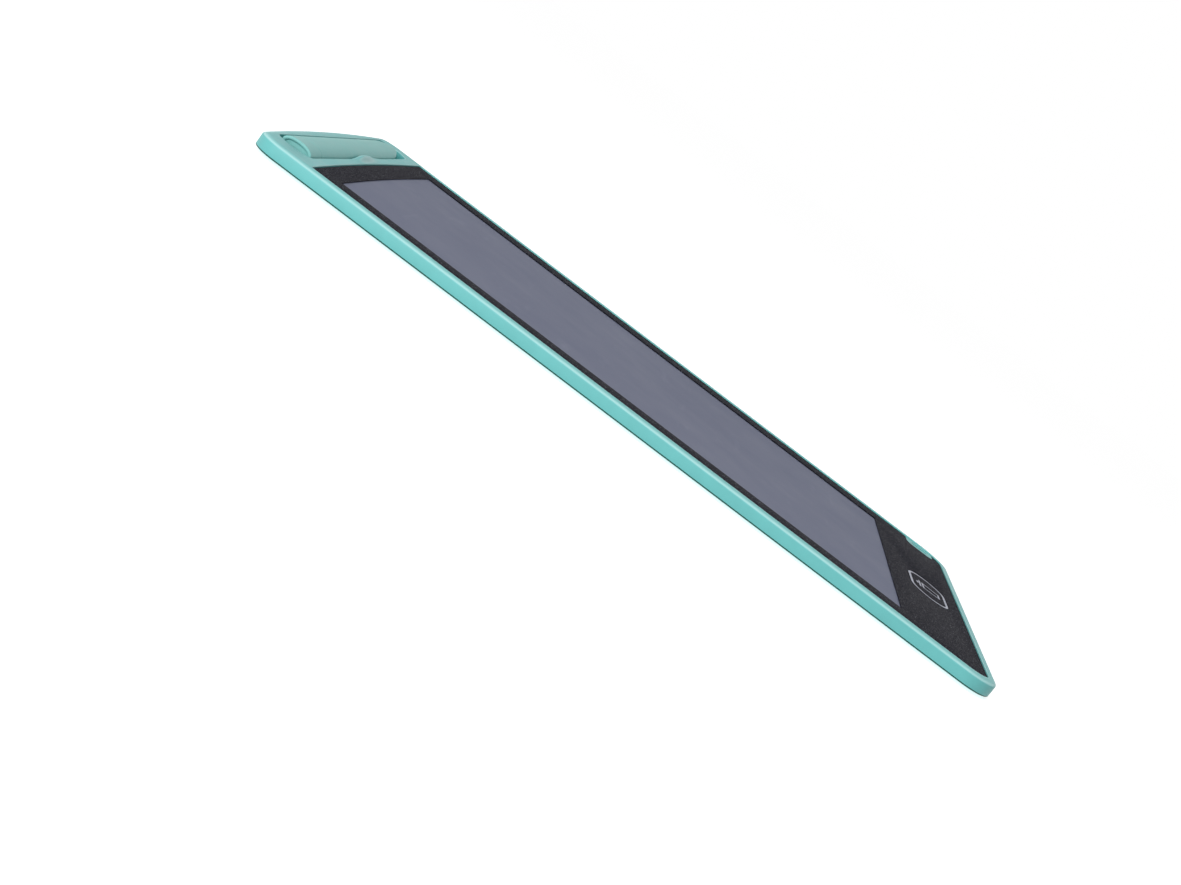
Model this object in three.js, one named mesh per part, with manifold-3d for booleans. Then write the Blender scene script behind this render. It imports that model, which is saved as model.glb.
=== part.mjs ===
// An 8.5 inch LCD writing tablet with its stylus, as the pieces that come apart on a bench.
// Millimetres. X runs across the tablet, Y along it towards the stylus, Z up out of the screen.
// The origin is under the middle of the tablet, on the surface that its feet stand on.
import * as THREE from 'three';
import { mergeVertices } from 'three/addons/utils/BufferGeometryUtils.js';
import Module from 'manifold-3d';

const wasm = await Module();
wasm.setup();

// Case outline and heights
const CASE_WIDTH = 146;
const CASE_LENGTH = 226;
const CASE_THICKNESS = 4.6;
const CASE_CORNER = 10;
const CASE_CORNER_AT_STYLUS = 7;
const CASE_BOW = 1.5;
const RIM_WIDTH = 2.8;
const RIM_HEIGHT = 0.4;
const RIM_FILLET = 1.1;
const FOOT_PROUD = 0.4;

// Walls of the two mouldings
const FRAME_WALL = 1.5;
const FRAME_BOTTOM_FILLET = 0.3;
const DECK_THICKNESS = 0.9;
const COVER_THICKNESS = 1;
const COVER_EDGE = 0.45;
const COVER_INSET = 0.5;
const COVER_LAND = 0.1;
const COVER_TAPER = 2.2;
const LIP_WALL = 0.8;
const LIP_HEIGHT = 1;
const RIB_WALL = 0.8;
const RIB_PITCH = 28;
const CROSS_RIB_STEP = 0.2;
const POCKET_WALL = 0.8;
const BOSS_WALL = 0.75;

// Clearances
const SEAT_GAP = 0.3;
const TRIM_GAP = 0.15;
const RUNNING_GAP = 0.3;
const TRAVEL_MARGIN = 0.05;

// Snap hooks that hold the rear cover in the frame
const HOOK_WIDTH = 5;
const HOOK_HEIGHT = 0.5;
const HOOK_REACH = 0.6;
const HOOKS_PER_SIDE = 5;
const HOOKS_PER_END = 3;

// Face film, its window and the layers under it
const FILM_THICKNESS = 0.2;
const FILM_TOP_MARGIN = 15.6;
const FILM_CORNER_AT_STYLUS = 1;
const FILM_BOW = 1;
const TAPE_THICKNESS = 0.1;
const TAPE_INSET = 0.8;
const WINDOW_WIDTH = 117.4;
const WINDOW_HEAD = 6.5;
const WINDOW_CHIN = 26.3;
const WINDOW_OVERLAP = 2.8;
const WINDOW_CORNER = 0.3;
const WINDOW_BOW = 0.7;
const PANEL_FILM = 0.25;
const PANEL_TAIL = 3;
const FOAM_THICKNESS = 0.85;
const PLATE_THICKNESS = 0.8;
const PLATE_MARGIN = 1;

// Erase key
const KEY_LENGTH = 24.6;
const KEY_WIDTH = 13.3;
const KEY_BELOW_CHIN_MIDDLE = 1.4;
const KEY_FLANGE = 1.5;
const KEY_FLANGE_THICKNESS = 0.4;
const KEY_STEM_RADIUS = 2;
const KEY_STEM_DROP = 0.1;
const KEY_TRAVEL = 0.25;

// Lanyard eye beside the erase key
const EYE_WIDTH = 8;
const EYE_LENGTH = 10;
const EYE_BELOW_CHIN_MIDDLE = 4.95;
const EYE_CORNER = 2.6;
const EYE_SLOT_WIDTH = 3.2;
const EYE_SLOT_LENGTH = 6;
const EYE_SLOT_FROM_SIDE = 7.2;

// Stylus groove and what holds the stylus in it
const GROOVE_SIDE_MARGIN = 9.5;
const GROOVE_WIDTH = 9.4;
const GROOVE_DEPTH = 3;
const GROOVE_CENTRE_X = 1;
const GROOVE_EDGE = 3.7;
const GROOVE_WALL = 1.4;
const HUMP_LENGTH = 22;
const HUMP_HEIGHT = 1.5;
const HUMP_PEAK = 0.4;
const SCOOP_DEPTH = 1.2;
const SCOOP_RADIUS = 4.4;
const SCOOP_HEIGHT = 0.9;
const SCOOP_FROM_MIDDLE = 1.8;
const NUB_RADIUS = 1.6;
const NUB_REACH = 0.2;
const NUB_SPACING = 20;
const NUB_ROOT = 1.5;

// Stylus
const STYLUS_WIDTH = 8.7;
const STYLUS_HEIGHT = 4.8;
const STYLUS_TAIL_GAP = 4.5;
const STYLUS_TIP_GAP = 2.5;
const STYLUS_ROUNDNESS = 2.2;
const STYLUS_CAP_LENGTH = 11.5;
const STYLUS_TAPER_LENGTH = 15;
const STYLUS_TAPER_POWER = 1.6;
const STYLUS_TIP_WIDTH = 3.8;
const STYLUS_TIP_HEIGHT = 3;
const STYLUS_CAP_WALL = 1.4;
const STYLUS_CAP_HOLLOW = 2.4;
const STYLUS_CAP_FLOOR = 0.6;
const STYLUS_CAP_EDGE = 0.35;
const STYLUS_PLUG_LENGTH = 5;
const STYLUS_PLUG_WALL = 1.2;
const STYLUS_REST_GAP = 0.1;
const NIB_RADIUS = 0.95;
const NIB_PROUD = 3.2;
const NIB_LENGTH = 10;

// Circuit board and its parts
const BOARD_LEFT = -18.8;
const BOARD_RIGHT = 44;
const BOARD_END_MARGIN = 7.3;
const BOARD_BELOW_CHIN_MIDDLE = 1.55;
const BOARD_THICKNESS = 0.6;
const BOARD_CORNER = 1;
const BOARD_ABOVE_COVER = 0.5;
const BOARD_SCREW_INSET = 2.2;
const BOARD_SCREW_RADIUS = 0.7;
const BOARD_SCREW_HEAD = 1.4;
const BOARD_SCREW_HEAD_HEIGHT = 0.4;
const BOARD_SCREW_GRIP = 1.2;
const BOARD_SCREW_POINT = 0.3;
const BOARD_SCREW_BEVEL = 0.15;
const DOME_SIZE = 6;
const DOME_HEIGHT = 0.4;
const DOME_RADIUS = 2.4;
const CHIP_X = 22;
const CHIP_ABOVE_BOARD_MIDDLE = 4.6;
const CHIP_SIZE = 4;
const CHIP_HEIGHT = 0.75;
const CHIP_STANDOFF = 0.1;
const LEADS_PER_SIDE = 4;
const LEAD_WIDTH = 0.4;
const LEAD_PITCH = 1.2;
const LEAD_SHOULDER = 0.9;
const LEAD_BEND = 0.2;
const LEAD_FOOT = 0.5;
const INDUCTOR_X = 33;
const INDUCTOR_BELOW_BOARD_MIDDLE = 5.4;
const INDUCTOR_SIZE = 4;
const INDUCTOR_HEIGHT = 0.8;
const INDUCTOR_BASE = 0.25;
const INDUCTOR_FLANGE = 0.2;
const INDUCTOR_CORE_RADIUS = 1.44;
const INDUCTOR_FLANGE_RADIUS = 1.8;
const CAPACITOR_X = 20;
const CAPACITOR_BELOW_BOARD_MIDDLE = 5.9;
const CAPACITOR_LENGTH = 3.2;
const CAPACITOR_HEIGHT = 0.7;
const CAPACITOR_CAP = 0.64;
const CAPACITOR_CAP_PROUD = 0.05;
const FLEX_WIDTH = 9;
const FLEX_X = 6;
const FLEX_THICKNESS = 0.12;
const FLEX_BEND_REACH = 1.4;
const FLEX_BEND_TOP = 1.3;
const FLEX_LANDING = 2;

// Coin cell, its contacts and its door
const CELL_RADIUS = 10;
const CELL_THICKNESS = 1.6;
const CELL_X = -36;
const CELL_BELOW_CHIN_MIDDLE = 0.45;
const CELL_PAD = 0.2;
const CELL_EDGE = 0.3;
const CELL_SHOULDER = 0.5;
const CELL_CAN_RIM = 1.2;
const CELL_CAP_RISE = 0.2;
const BAY_WALL = 1;
const BAY_GAP = 0.4;
const BAY_HEIGHT = 1.7;
const CONTACT_THICKNESS = 0.15;
const CONTACT_WIDTH = 4;
const CONTACT_OFFSET = 6.2;
const CONTACT_SOLDERED = 3.6;
const CONTACT_LIFT = 0.25;
const CONTACT_DIP = 0.12;
const CONTACT_CREST = 0.15;
const CONTACT_DIP_REACH = 2.5;
const CONTACT_SIDE_GAP = 0.25;
const CONTACT_SIDE_HEIGHT = 0.6;
const DOOR_LENGTH = 30.5;
const DOOR_WIDTH = 25;
const DOOR_THICKNESS = 0.5;
const DOOR_CORNER = 2;
const DOOR_MARGIN = 3.5;
const DOOR_TAB_WIDTH = 4;
const DOOR_TAB_SPACING = 17;
const DOOR_TAB_REACH = 1.2;
const DOOR_TAB_THICKNESS = 0.4;
const DOOR_NECK = 1;
const DOOR_SCREW_INSET = 2.9;
const DOOR_SCREW_RADIUS = 0.75;
const DOOR_SCREW_HEAD = 1.6;
const DOOR_SCREW_LENGTH = 2.5;
const DOOR_SCREW_POINT = 0.5;
const DOOR_SCREW_TIP = 0.2;
const DOOR_SCREW_SUNK = 0.05;
const CROSS_LENGTH = 2.08;
const CROSS_WIDTH = 0.35;
const CROSS_DEPTH = 0.35;
const GRIPS = 4;
const GRIP_WIDTH = 0.6;
const GRIP_DEPTH = 0.2;
const GRIPS_SPAN = 6;
const GRIPS_FROM_HINGE = 5;

// Lock slider on the rear face
const LOCK_X = 30;
const LOCK_KNOB_LENGTH = 5;
const LOCK_KNOB_WIDTH = 4.4;
const LOCK_KNOB_HEIGHT = 0.4;
const LOCK_RECESS_DEPTH = 0.4;
const LOCK_NECK = 2;
const LOCK_FLANGE = 1;
const LOCK_FLANGE_THICKNESS = 0.3;
const LOCK_TRAVEL = 2.5;
const WIPER_THICKNESS = 0.1;
const RIDGES = 4;
const RIDGE_WIDTH = 0.35;
const RIDGE_DEPTH = 0.15;

// Rubber feet
const FOOT_RADIUS = 4;
const FOOT_RECESS = 0.4;
const FOOT_ROUND = 0.2;
const FOOT_BEVEL = 0.06;
const FOOT_FROM_SIDE = 15;
const FOOT_FROM_END = 38;

// Heights that follow from the sizes above
const REAR_Z = FOOT_PROUD;
const RIM_TOP = REAR_Z + CASE_THICKNESS;
const FILM_TOP = RIM_TOP - RIM_HEIGHT;
const FILM_BOTTOM = FILM_TOP - FILM_THICKNESS;
const DECK_TOP = FILM_BOTTOM - TAPE_THICKNESS;
const DECK_BOTTOM = DECK_TOP - DECK_THICKNESS;
const FRAME_BOTTOM = REAR_Z + COVER_EDGE;
const COVER_INSIDE = REAR_Z + COVER_THICKNESS;
const GROOVE_FLOOR = RIM_TOP - GROOVE_DEPTH;
const BOARD_BOTTOM = COVER_INSIDE + BOARD_ABOVE_COVER;
const BOARD_TOP = BOARD_BOTTOM + BOARD_THICKNESS;
const PANEL_BOTTOM = DECK_TOP - 2 * PANEL_FILM;
const FOAM_BOTTOM = PANEL_BOTTOM - FOAM_THICKNESS;
const PLATE_BOTTOM = FOAM_BOTTOM - PLATE_THICKNESS;
const STYLUS_BOTTOM = GROOVE_FLOOR + STYLUS_REST_GAP;
const KEY_FLANGE_BOTTOM = BOARD_TOP + DOME_HEIGHT + KEY_TRAVEL + TRAVEL_MARGIN + KEY_STEM_DROP;
const KEY_FLANGE_TOP = KEY_FLANGE_BOTTOM + KEY_FLANGE_THICKNESS;
const KEY_POCKET_TOP = KEY_FLANGE_TOP + TRAVEL_MARGIN;
const DOOR_TOP = REAR_Z + DOOR_THICKNESS;
const CELL_BOTTOM = COVER_INSIDE + CELL_PAD;
const CELL_TOP = CELL_BOTTOM + CELL_THICKNESS;
const CONTACT_Z = CELL_TOP + SEAT_GAP / 2;
const BAY_POCKET_TOP = CONTACT_Z + CONTACT_THICKNESS + SEAT_GAP;

// Places that follow from the sizes above
const FILM_TOP_Y = CASE_LENGTH / 2 - FILM_TOP_MARGIN;
const RECESS_CORNER = CASE_CORNER - RIM_WIDTH;
const WINDOW_HIGH_Y = FILM_TOP_Y - WINDOW_HEAD;
const WINDOW_LOW_Y = -CASE_LENGTH / 2 + RIM_WIDTH + WINDOW_CHIN;
const WINDOW_LENGTH = WINDOW_HIGH_Y - WINDOW_LOW_Y;
const WINDOW_CENTRE_Y = (WINDOW_HIGH_Y + WINDOW_LOW_Y) / 2;
const CHIN_MIDDLE_Y = WINDOW_LOW_Y - WINDOW_CHIN / 2;
const KEY_Y = CHIN_MIDDLE_Y - KEY_BELOW_CHIN_MIDDLE;
const EYE_Y = CHIN_MIDDLE_Y - EYE_BELOW_CHIN_MIDDLE;
const EYE_SLOT_X = CASE_WIDTH / 2 - EYE_SLOT_FROM_SIDE;
const BOARD_WIDTH = WINDOW_CHIN - BOARD_END_MARGIN;
const BOARD_Y = CHIN_MIDDLE_Y - BOARD_BELOW_CHIN_MIDDLE;
const CHIP_Y = BOARD_Y + CHIP_ABOVE_BOARD_MIDDLE;
const INDUCTOR_Y = BOARD_Y - INDUCTOR_BELOW_BOARD_MIDDLE;
const CAPACITOR_Y = BOARD_Y - CAPACITOR_BELOW_BOARD_MIDDLE;
const CELL_Y = CHIN_MIDDLE_Y - CELL_BELOW_CHIN_MIDDLE;
const LOCK_Y = CHIN_MIDDLE_Y;
const FOOT_X = CASE_WIDTH / 2 - FOOT_FROM_SIDE;
const FOOT_Y = CASE_LENGTH / 2 - FOOT_FROM_END;
const GROOVE_Y = CASE_LENGTH / 2 - GROOVE_EDGE - GROOVE_WIDTH / 2;
const GROOVE_LENGTH = CASE_WIDTH - 2 * GROOVE_SIDE_MARGIN;
const STYLUS_TAIL_X = GROOVE_CENTRE_X - GROOVE_LENGTH / 2 + STYLUS_TAIL_GAP;
const STYLUS_LENGTH = GROOVE_LENGTH - STYLUS_TAIL_GAP - STYLUS_TIP_GAP;
const PANEL_WIDTH = WINDOW_WIDTH + 2 * WINDOW_OVERLAP;
const PANEL_LENGTH = WINDOW_LENGTH + 2 * WINDOW_OVERLAP;
const PLATE_LENGTH = PANEL_LENGTH - 2 * PANEL_TAIL - 2 * PLATE_MARGIN;
const BOARD_MIDDLE = (BOARD_LEFT + BOARD_RIGHT) / 2;
const DOOR_HINGE_X = CELL_X - CELL_RADIUS - DOOR_MARGIN;
const DOOR_SCREW_X = DOOR_HINGE_X + DOOR_LENGTH - DOOR_SCREW_INSET;
const BAY_RADIUS = CELL_RADIUS + BAY_GAP;
const CUT = 1;
const CORNER_STEPS = 8;
const KEY_STEPS = 8;
const HUMP_STEPS = 16;
const BOW_STEPS = 8;
const TAPER_STEPS = 6;
const DOME_STEPS = 5;
const FLEX_STEPS = 8;
const CELL_SEGMENTS = 32;

const PLASTIC = { color: 0x7fcbc4, roughness: 0.42, metalness: 0 };
const STYLUS_PLASTIC = { color: 0x86cfc8, roughness: 0.4, metalness: 0 };
const BLACK_FILM = { color: 0x1d1c20, roughness: 0.55, metalness: 0 };
const SCREEN = { color: 0x3c3f48, roughness: 0.3, metalness: 0 };
const BACK_COAT = { color: 0x101114, roughness: 0.6, metalness: 0 };
const TAPE = { color: 0xd8d6cf, roughness: 0.7, metalness: 0 };
const FOAM = { color: 0x2b2b2e, roughness: 0.95, metalness: 0 };
const BOARD = { color: 0x1c6b3c, roughness: 0.5, metalness: 0 };
const EPOXY = { color: 0x17171a, roughness: 0.5, metalness: 0 };
const CERAMIC = { color: 0xb59a72, roughness: 0.5, metalness: 0 };
const FLEX = { color: 0xc8862c, roughness: 0.4, metalness: 0 };
const STEEL = { color: 0xb9bcc0, roughness: 0.3, metalness: 1 };
const RUBBER = { color: 0x2a2a2b, roughness: 0.9, metalness: 0 };

// Outlines, drawn in the plane of the tablet

// A rounded rectangle about a centre, with one radius for the two corners at +Y and one at -Y.
// The side at +Y can be bowed: its middle stays where it is and its two ends fall back.
function roundedOutline(width, length, radiusLow, radiusHigh, centreX = 0, centreY = 0, bow = 0) {
  const [left, right] = [centreX - width / 2, centreX + width / 2];
  const [low, high] = [centreY - length / 2, centreY + length / 2];
  const shoulder = high - bow;
  const shape = new THREE.Shape();
  shape.moveTo(left + radiusLow, low);
  shape.lineTo(right - radiusLow, low);
  shape.absarc(right - radiusLow, low + radiusLow, radiusLow, -Math.PI / 2, 0);
  shape.lineTo(right, shoulder - radiusHigh);
  shape.absarc(right - radiusHigh, shoulder - radiusHigh, radiusHigh, 0, Math.PI / 2);
  const steps = bow > 0 ? BOW_STEPS : 1;
  for (let step = 1; step <= steps; step += 1) {
    const across = 1 - 2 * (step / steps);
    const y = high - bow * across ** 2;
    shape.lineTo(centreX + across * (width / 2 - radiusHigh), y);
  }
  shape.absarc(left + radiusHigh, shoulder - radiusHigh, radiusHigh, Math.PI / 2, Math.PI);
  shape.lineTo(left, low + radiusLow);
  shape.absarc(left + radiusLow, low + radiusLow, radiusLow, Math.PI, 1.5 * Math.PI);
  return shape;
}

// A pill that lies along X or, where it is longer than wide, along Y.
function pillOutline(width, length, centreX, centreY) {
  const radius = Math.min(width, length) / 2;
  return roundedOutline(width, length, radius, radius, centreX, centreY);
}

function discOutline(radius, centreX, centreY) {
  return new THREE.Shape().absarc(centreX, centreY, radius, 0, 2 * Math.PI);
}

// The case outline drawn in by an inset.
function caseOutline(inset) {
  return roundedOutline(
    CASE_WIDTH - 2 * inset, CASE_LENGTH - 2 * inset,
    CASE_CORNER - inset, CASE_CORNER_AT_STYLUS - inset, 0, 0, CASE_BOW,
  );
}

// The recess that the black film lies in, drawn in by an inset.
function filmOutline(inset) {
  const low = -CASE_LENGTH / 2 + RIM_WIDTH + inset;
  const high = FILM_TOP_Y - inset;
  const width = CASE_WIDTH - 2 * RIM_WIDTH - 2 * inset;
  return roundedOutline(
    width, high - low, RECESS_CORNER - inset, FILM_CORNER_AT_STYLUS, 0, (low + high) / 2, FILM_BOW,
  );
}

// The lanyard eye's face, which stands in a notch of the film, grown by a clearance.
function eyeOutline(grow) {
  const left = CASE_WIDTH / 2 - RIM_WIDTH - EYE_WIDTH - grow;
  const right = CASE_WIDTH / 2 - RIM_WIDTH + EYE_CORNER + CUT;
  const corner = EYE_CORNER + grow;
  return roundedOutline(
    right - left, EYE_LENGTH + 2 * grow, corner, corner, (left + right) / 2, EYE_Y,
  );
}

function rectangle(width, length, centreX, centreY) {
  const shape = new THREE.Shape();
  shape.moveTo(centreX - width / 2, centreY - length / 2);
  shape.lineTo(centreX + width / 2, centreY - length / 2);
  shape.lineTo(centreX + width / 2, centreY + length / 2);
  shape.lineTo(centreX - width / 2, centreY + length / 2);
  return shape;
}

// Solids

function solid(geometry) {
  geometry.deleteAttribute('normal');
  geometry.deleteAttribute('uv');
  const merged = mergeVertices(geometry, 1e-5);
  return new wasm.Manifold(new wasm.Mesh({
    numProp: 3,
    vertProperties: Float32Array.from(merged.attributes.position.array),
    triVerts: Uint32Array.from(merged.index.array),
  }));
}

// A slab with the given outline between two heights.
function slab(outline, bottom, top, segments = 5) {
  const options = { depth: top - bottom, bevelEnabled: false, curveSegments: segments };
  return solid(new THREE.ExtrudeGeometry(outline, options).translate(0, 0, bottom));
}

function box(sizeX, sizeY, bottom, top, centreX, centreY) {
  return slab(rectangle(sizeX, sizeY, centreX, centreY), bottom, top);
}

function disc(radius, bottom, top, centreX, centreY, segments = 20) {
  return slab(discOutline(radius, centreX, centreY), bottom, top, segments);
}

// A solid skinned over rings of points. Each ring has as many points as the next, in turn order.
function loft(rings) {
  const count = rings[0].length;
  const positions = rings.flat().flatMap((point) => point.toArray());
  const faces = [];
  for (let ring = 0; ring + 1 < rings.length; ring += 1) {
    for (let i = 0; i < count; i += 1) {
      const [a, b] = [ring * count + i, ring * count + ((i + 1) % count)];
      faces.push(a, b, b + count, a, b + count, a + count);
    }
  }
  for (const [ring, turn] of [[0, -1], [rings.length - 1, 1]]) {
    const middle = positions.length / 3;
    const centre = rings[ring].reduce((sum, point) => sum.add(point), new THREE.Vector3());
    positions.push(...centre.divideScalar(count).toArray());
    for (let i = 0; i < count; i += 1) {
      const [a, b] = [ring * count + i, ring * count + ((i + 1) % count)];
      faces.push(middle, ...(turn > 0 ? [a, b] : [b, a]));
    }
  }
  const geometry = new THREE.BufferGeometry();
  geometry.setAttribute('position', new THREE.Float32BufferAttribute(positions, 3));
  geometry.setIndex(faces);
  return solid(geometry);
}

// The case outline lofted through steps of inset and height, which rounds its edges.
function caseLoft(steps) {
  return loft(steps.map(([inset, height]) => caseOutline(inset)
    .getPoints(CORNER_STEPS)
    .slice(0, -1)
    .map((point) => new THREE.Vector3(point.x, point.y, height))));
}

// Steps round a quarter circle, from the side wall up to the top face.
function filletSteps(inset, top, radius, count = 4) {
  return Array.from({ length: count + 1 }, (unused, step) => {
    const angle = (step / count) * (Math.PI / 2);
    return [inset + radius * (1 - Math.cos(angle)), top - radius * (1 - Math.sin(angle))];
  });
}

// The same round at a bottom edge, from the bottom face up to the side wall.
function bottomFilletSteps(inset, bottom, radius, count = 2) {
  return filletSteps(inset, 0, radius, count)
    .map(([inward, below]) => [inward, bottom - below])
    .reverse();
}

// A bent strip of even thickness along a path in the plane of two axes, as wide as asked.
function strip(path, thickness) {
  const points = path.map(([x, y]) => new THREE.Vector2(x, y));
  const normals = points.map((point, i) => {
    const before = points[Math.max(i - 1, 0)];
    const after = points[Math.min(i + 1, points.length - 1)];
    const along = after.clone().sub(before).normalize();
    return new THREE.Vector2(-along.y, along.x).multiplyScalar(thickness / 2);
  });
  const upper = points.map((point, i) => point.clone().add(normals[i]));
  const lower = points.map((point, i) => point.clone().sub(normals[i]));
  return new THREE.Shape([...lower, ...upper.reverse()]);
}

// A strip whose path lies in X and Z, centred on a Y.
function stripAlongX(path, thickness, width, centreY) {
  const options = { depth: width, bevelEnabled: false };
  const geometry = new THREE.ExtrudeGeometry(strip(path, thickness), options);
  return solid(geometry.rotateX(Math.PI / 2).translate(0, centreY + width / 2, 0));
}

// A strip whose path lies in Y and Z, centred on an X.
function stripAlongY(path, thickness, width, centreX) {
  const options = { depth: width, bevelEnabled: false };
  const geometry = new THREE.ExtrudeGeometry(strip(path, thickness), options);
  geometry.applyMatrix4(new THREE.Matrix4().makeBasis(
    new THREE.Vector3(0, 1, 0), new THREE.Vector3(0, 0, 1), new THREE.Vector3(1, 0, 0),
  ));
  return solid(geometry.translate(centreX - width / 2, 0, 0));
}

// A round piece about a vertical axis, from a profile of radius and height.
function turned(profile, centreX, centreY, segments = 24) {
  const points = profile.map(([radius, height]) => new THREE.Vector2(radius, height));
  const geometry = new THREE.LatheGeometry(points, segments).rotateX(Math.PI / 2);
  return solid(geometry.translate(centreX, centreY, 0));
}

function join(first, ...others) {
  return others.reduce((sum, other) => sum.add(other), first);
}

function cut(first, ...tools) {
  return tools.reduce((rest, tool) => rest.subtract(tool), first);
}

const tablet = new THREE.Group();

function addPiece(name, shape, finish) {
  const mesh = shape.getMesh();
  const geometry = new THREE.BufferGeometry();
  geometry.setAttribute('position', new THREE.BufferAttribute(mesh.vertProperties, 3));
  geometry.setIndex(new THREE.BufferAttribute(mesh.triVerts, 1));
  geometry.computeVertexNormals();
  const piece = new THREE.Mesh(geometry, new THREE.MeshStandardMaterial(finish));
  piece.name = name;
  tablet.add(piece);
}

// Places of repeated features

function spread(count, span) {
  return Array.from({ length: count }, (unused, i) => span * ((i + 0.5) / count - 0.5));
}

// Each hook place is a point on the frame's inner wall and whether it is on a long side.
function hookPlaces() {
  const [sideX, endY] = [CASE_WIDTH / 2 - FRAME_WALL, CASE_LENGTH / 2 - FRAME_WALL];
  const places = [];
  for (const side of [-1, 1]) {
    for (const y of spread(HOOKS_PER_SIDE, CASE_LENGTH - 4 * CASE_CORNER)) {
      places.push({ x: side * sideX, y, long: true });
    }
    for (const x of spread(HOOKS_PER_END, CASE_WIDTH - 4 * CASE_CORNER)) {
      places.push({ x, y: side * endY, long: false });
    }
  }
  return places.filter((place) => place.long || place.y < 0);
}

const HOOK_BOTTOM = COVER_INSIDE + LIP_HEIGHT - HOOK_HEIGHT;
const BOARD_SCREW_PLACES = [BOARD_LEFT + BOARD_SCREW_INSET, BOARD_RIGHT - BOARD_SCREW_INSET];
const DOOR_TAB_PLACES = [CELL_Y - DOOR_TAB_SPACING / 2, CELL_Y + DOOR_TAB_SPACING / 2];

// Front frame

// The raised arch between the groove and the film. It rises fast on the tail's side, falls off
// slowly on the tip's side, and is scooped where it faces the film.
function grooveHump() {
  const [near, far] = [FILM_TOP_Y, GROOVE_Y - GROOVE_WIDTH / 2];
  const left = -HUMP_LENGTH / 2;
  const arch = new THREE.Shape();
  arch.moveTo(left, -CUT);
  arch.lineTo(-left, -CUT);
  for (let step = 0; step <= HUMP_STEPS; step += 1) {
    const share = 1 - step / HUMP_STEPS;
    const climb = share < HUMP_PEAK ? share / HUMP_PEAK : (1 - share) / (1 - HUMP_PEAK);
    arch.lineTo(left + HUMP_LENGTH * share, HUMP_HEIGHT * Math.sin(climb * (Math.PI / 2)) ** 2);
  }
  const options = { depth: far - near, bevelEnabled: false };
  const hump = new THREE.ExtrudeGeometry(arch, options).rotateX(Math.PI / 2);
  hump.translate(GROOVE_CENTRE_X, far, RIM_TOP);
  const scoop = discOutline(SCOOP_RADIUS, 0, SCOOP_HEIGHT - SCOOP_RADIUS);
  const scoopOptions = { depth: SCOOP_DEPTH + CUT, bevelEnabled: false, curveSegments: HUMP_STEPS };
  const hollow = new THREE.ExtrudeGeometry(scoop, scoopOptions).rotateX(Math.PI / 2);
  hollow.translate(GROOVE_CENTRE_X + SCOOP_FROM_MIDDLE, near + SCOOP_DEPTH, RIM_TOP);
  return cut(solid(hump), solid(hollow));
}

// Two half-round nubs on the far wall of the groove, which grip the stylus.
function grooveNubs() {
  const wall = GROOVE_Y + GROOVE_WIDTH / 2;
  return [-1, 1].map((side) => {
    const x = GROOVE_CENTRE_X + side * (NUB_SPACING / 2);
    const height = [GROOVE_FLOOR - FRAME_BOTTOM_FILLET, RIM_TOP - RIM_HEIGHT];
    return slab(discOutline(NUB_RADIUS, x, wall + NUB_RADIUS - NUB_REACH), ...height)
      .intersect(box(4 * NUB_RADIUS, NUB_ROOT, 0, RIM_TOP, x, wall - NUB_REACH + NUB_ROOT / 2));
  });
}

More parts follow.
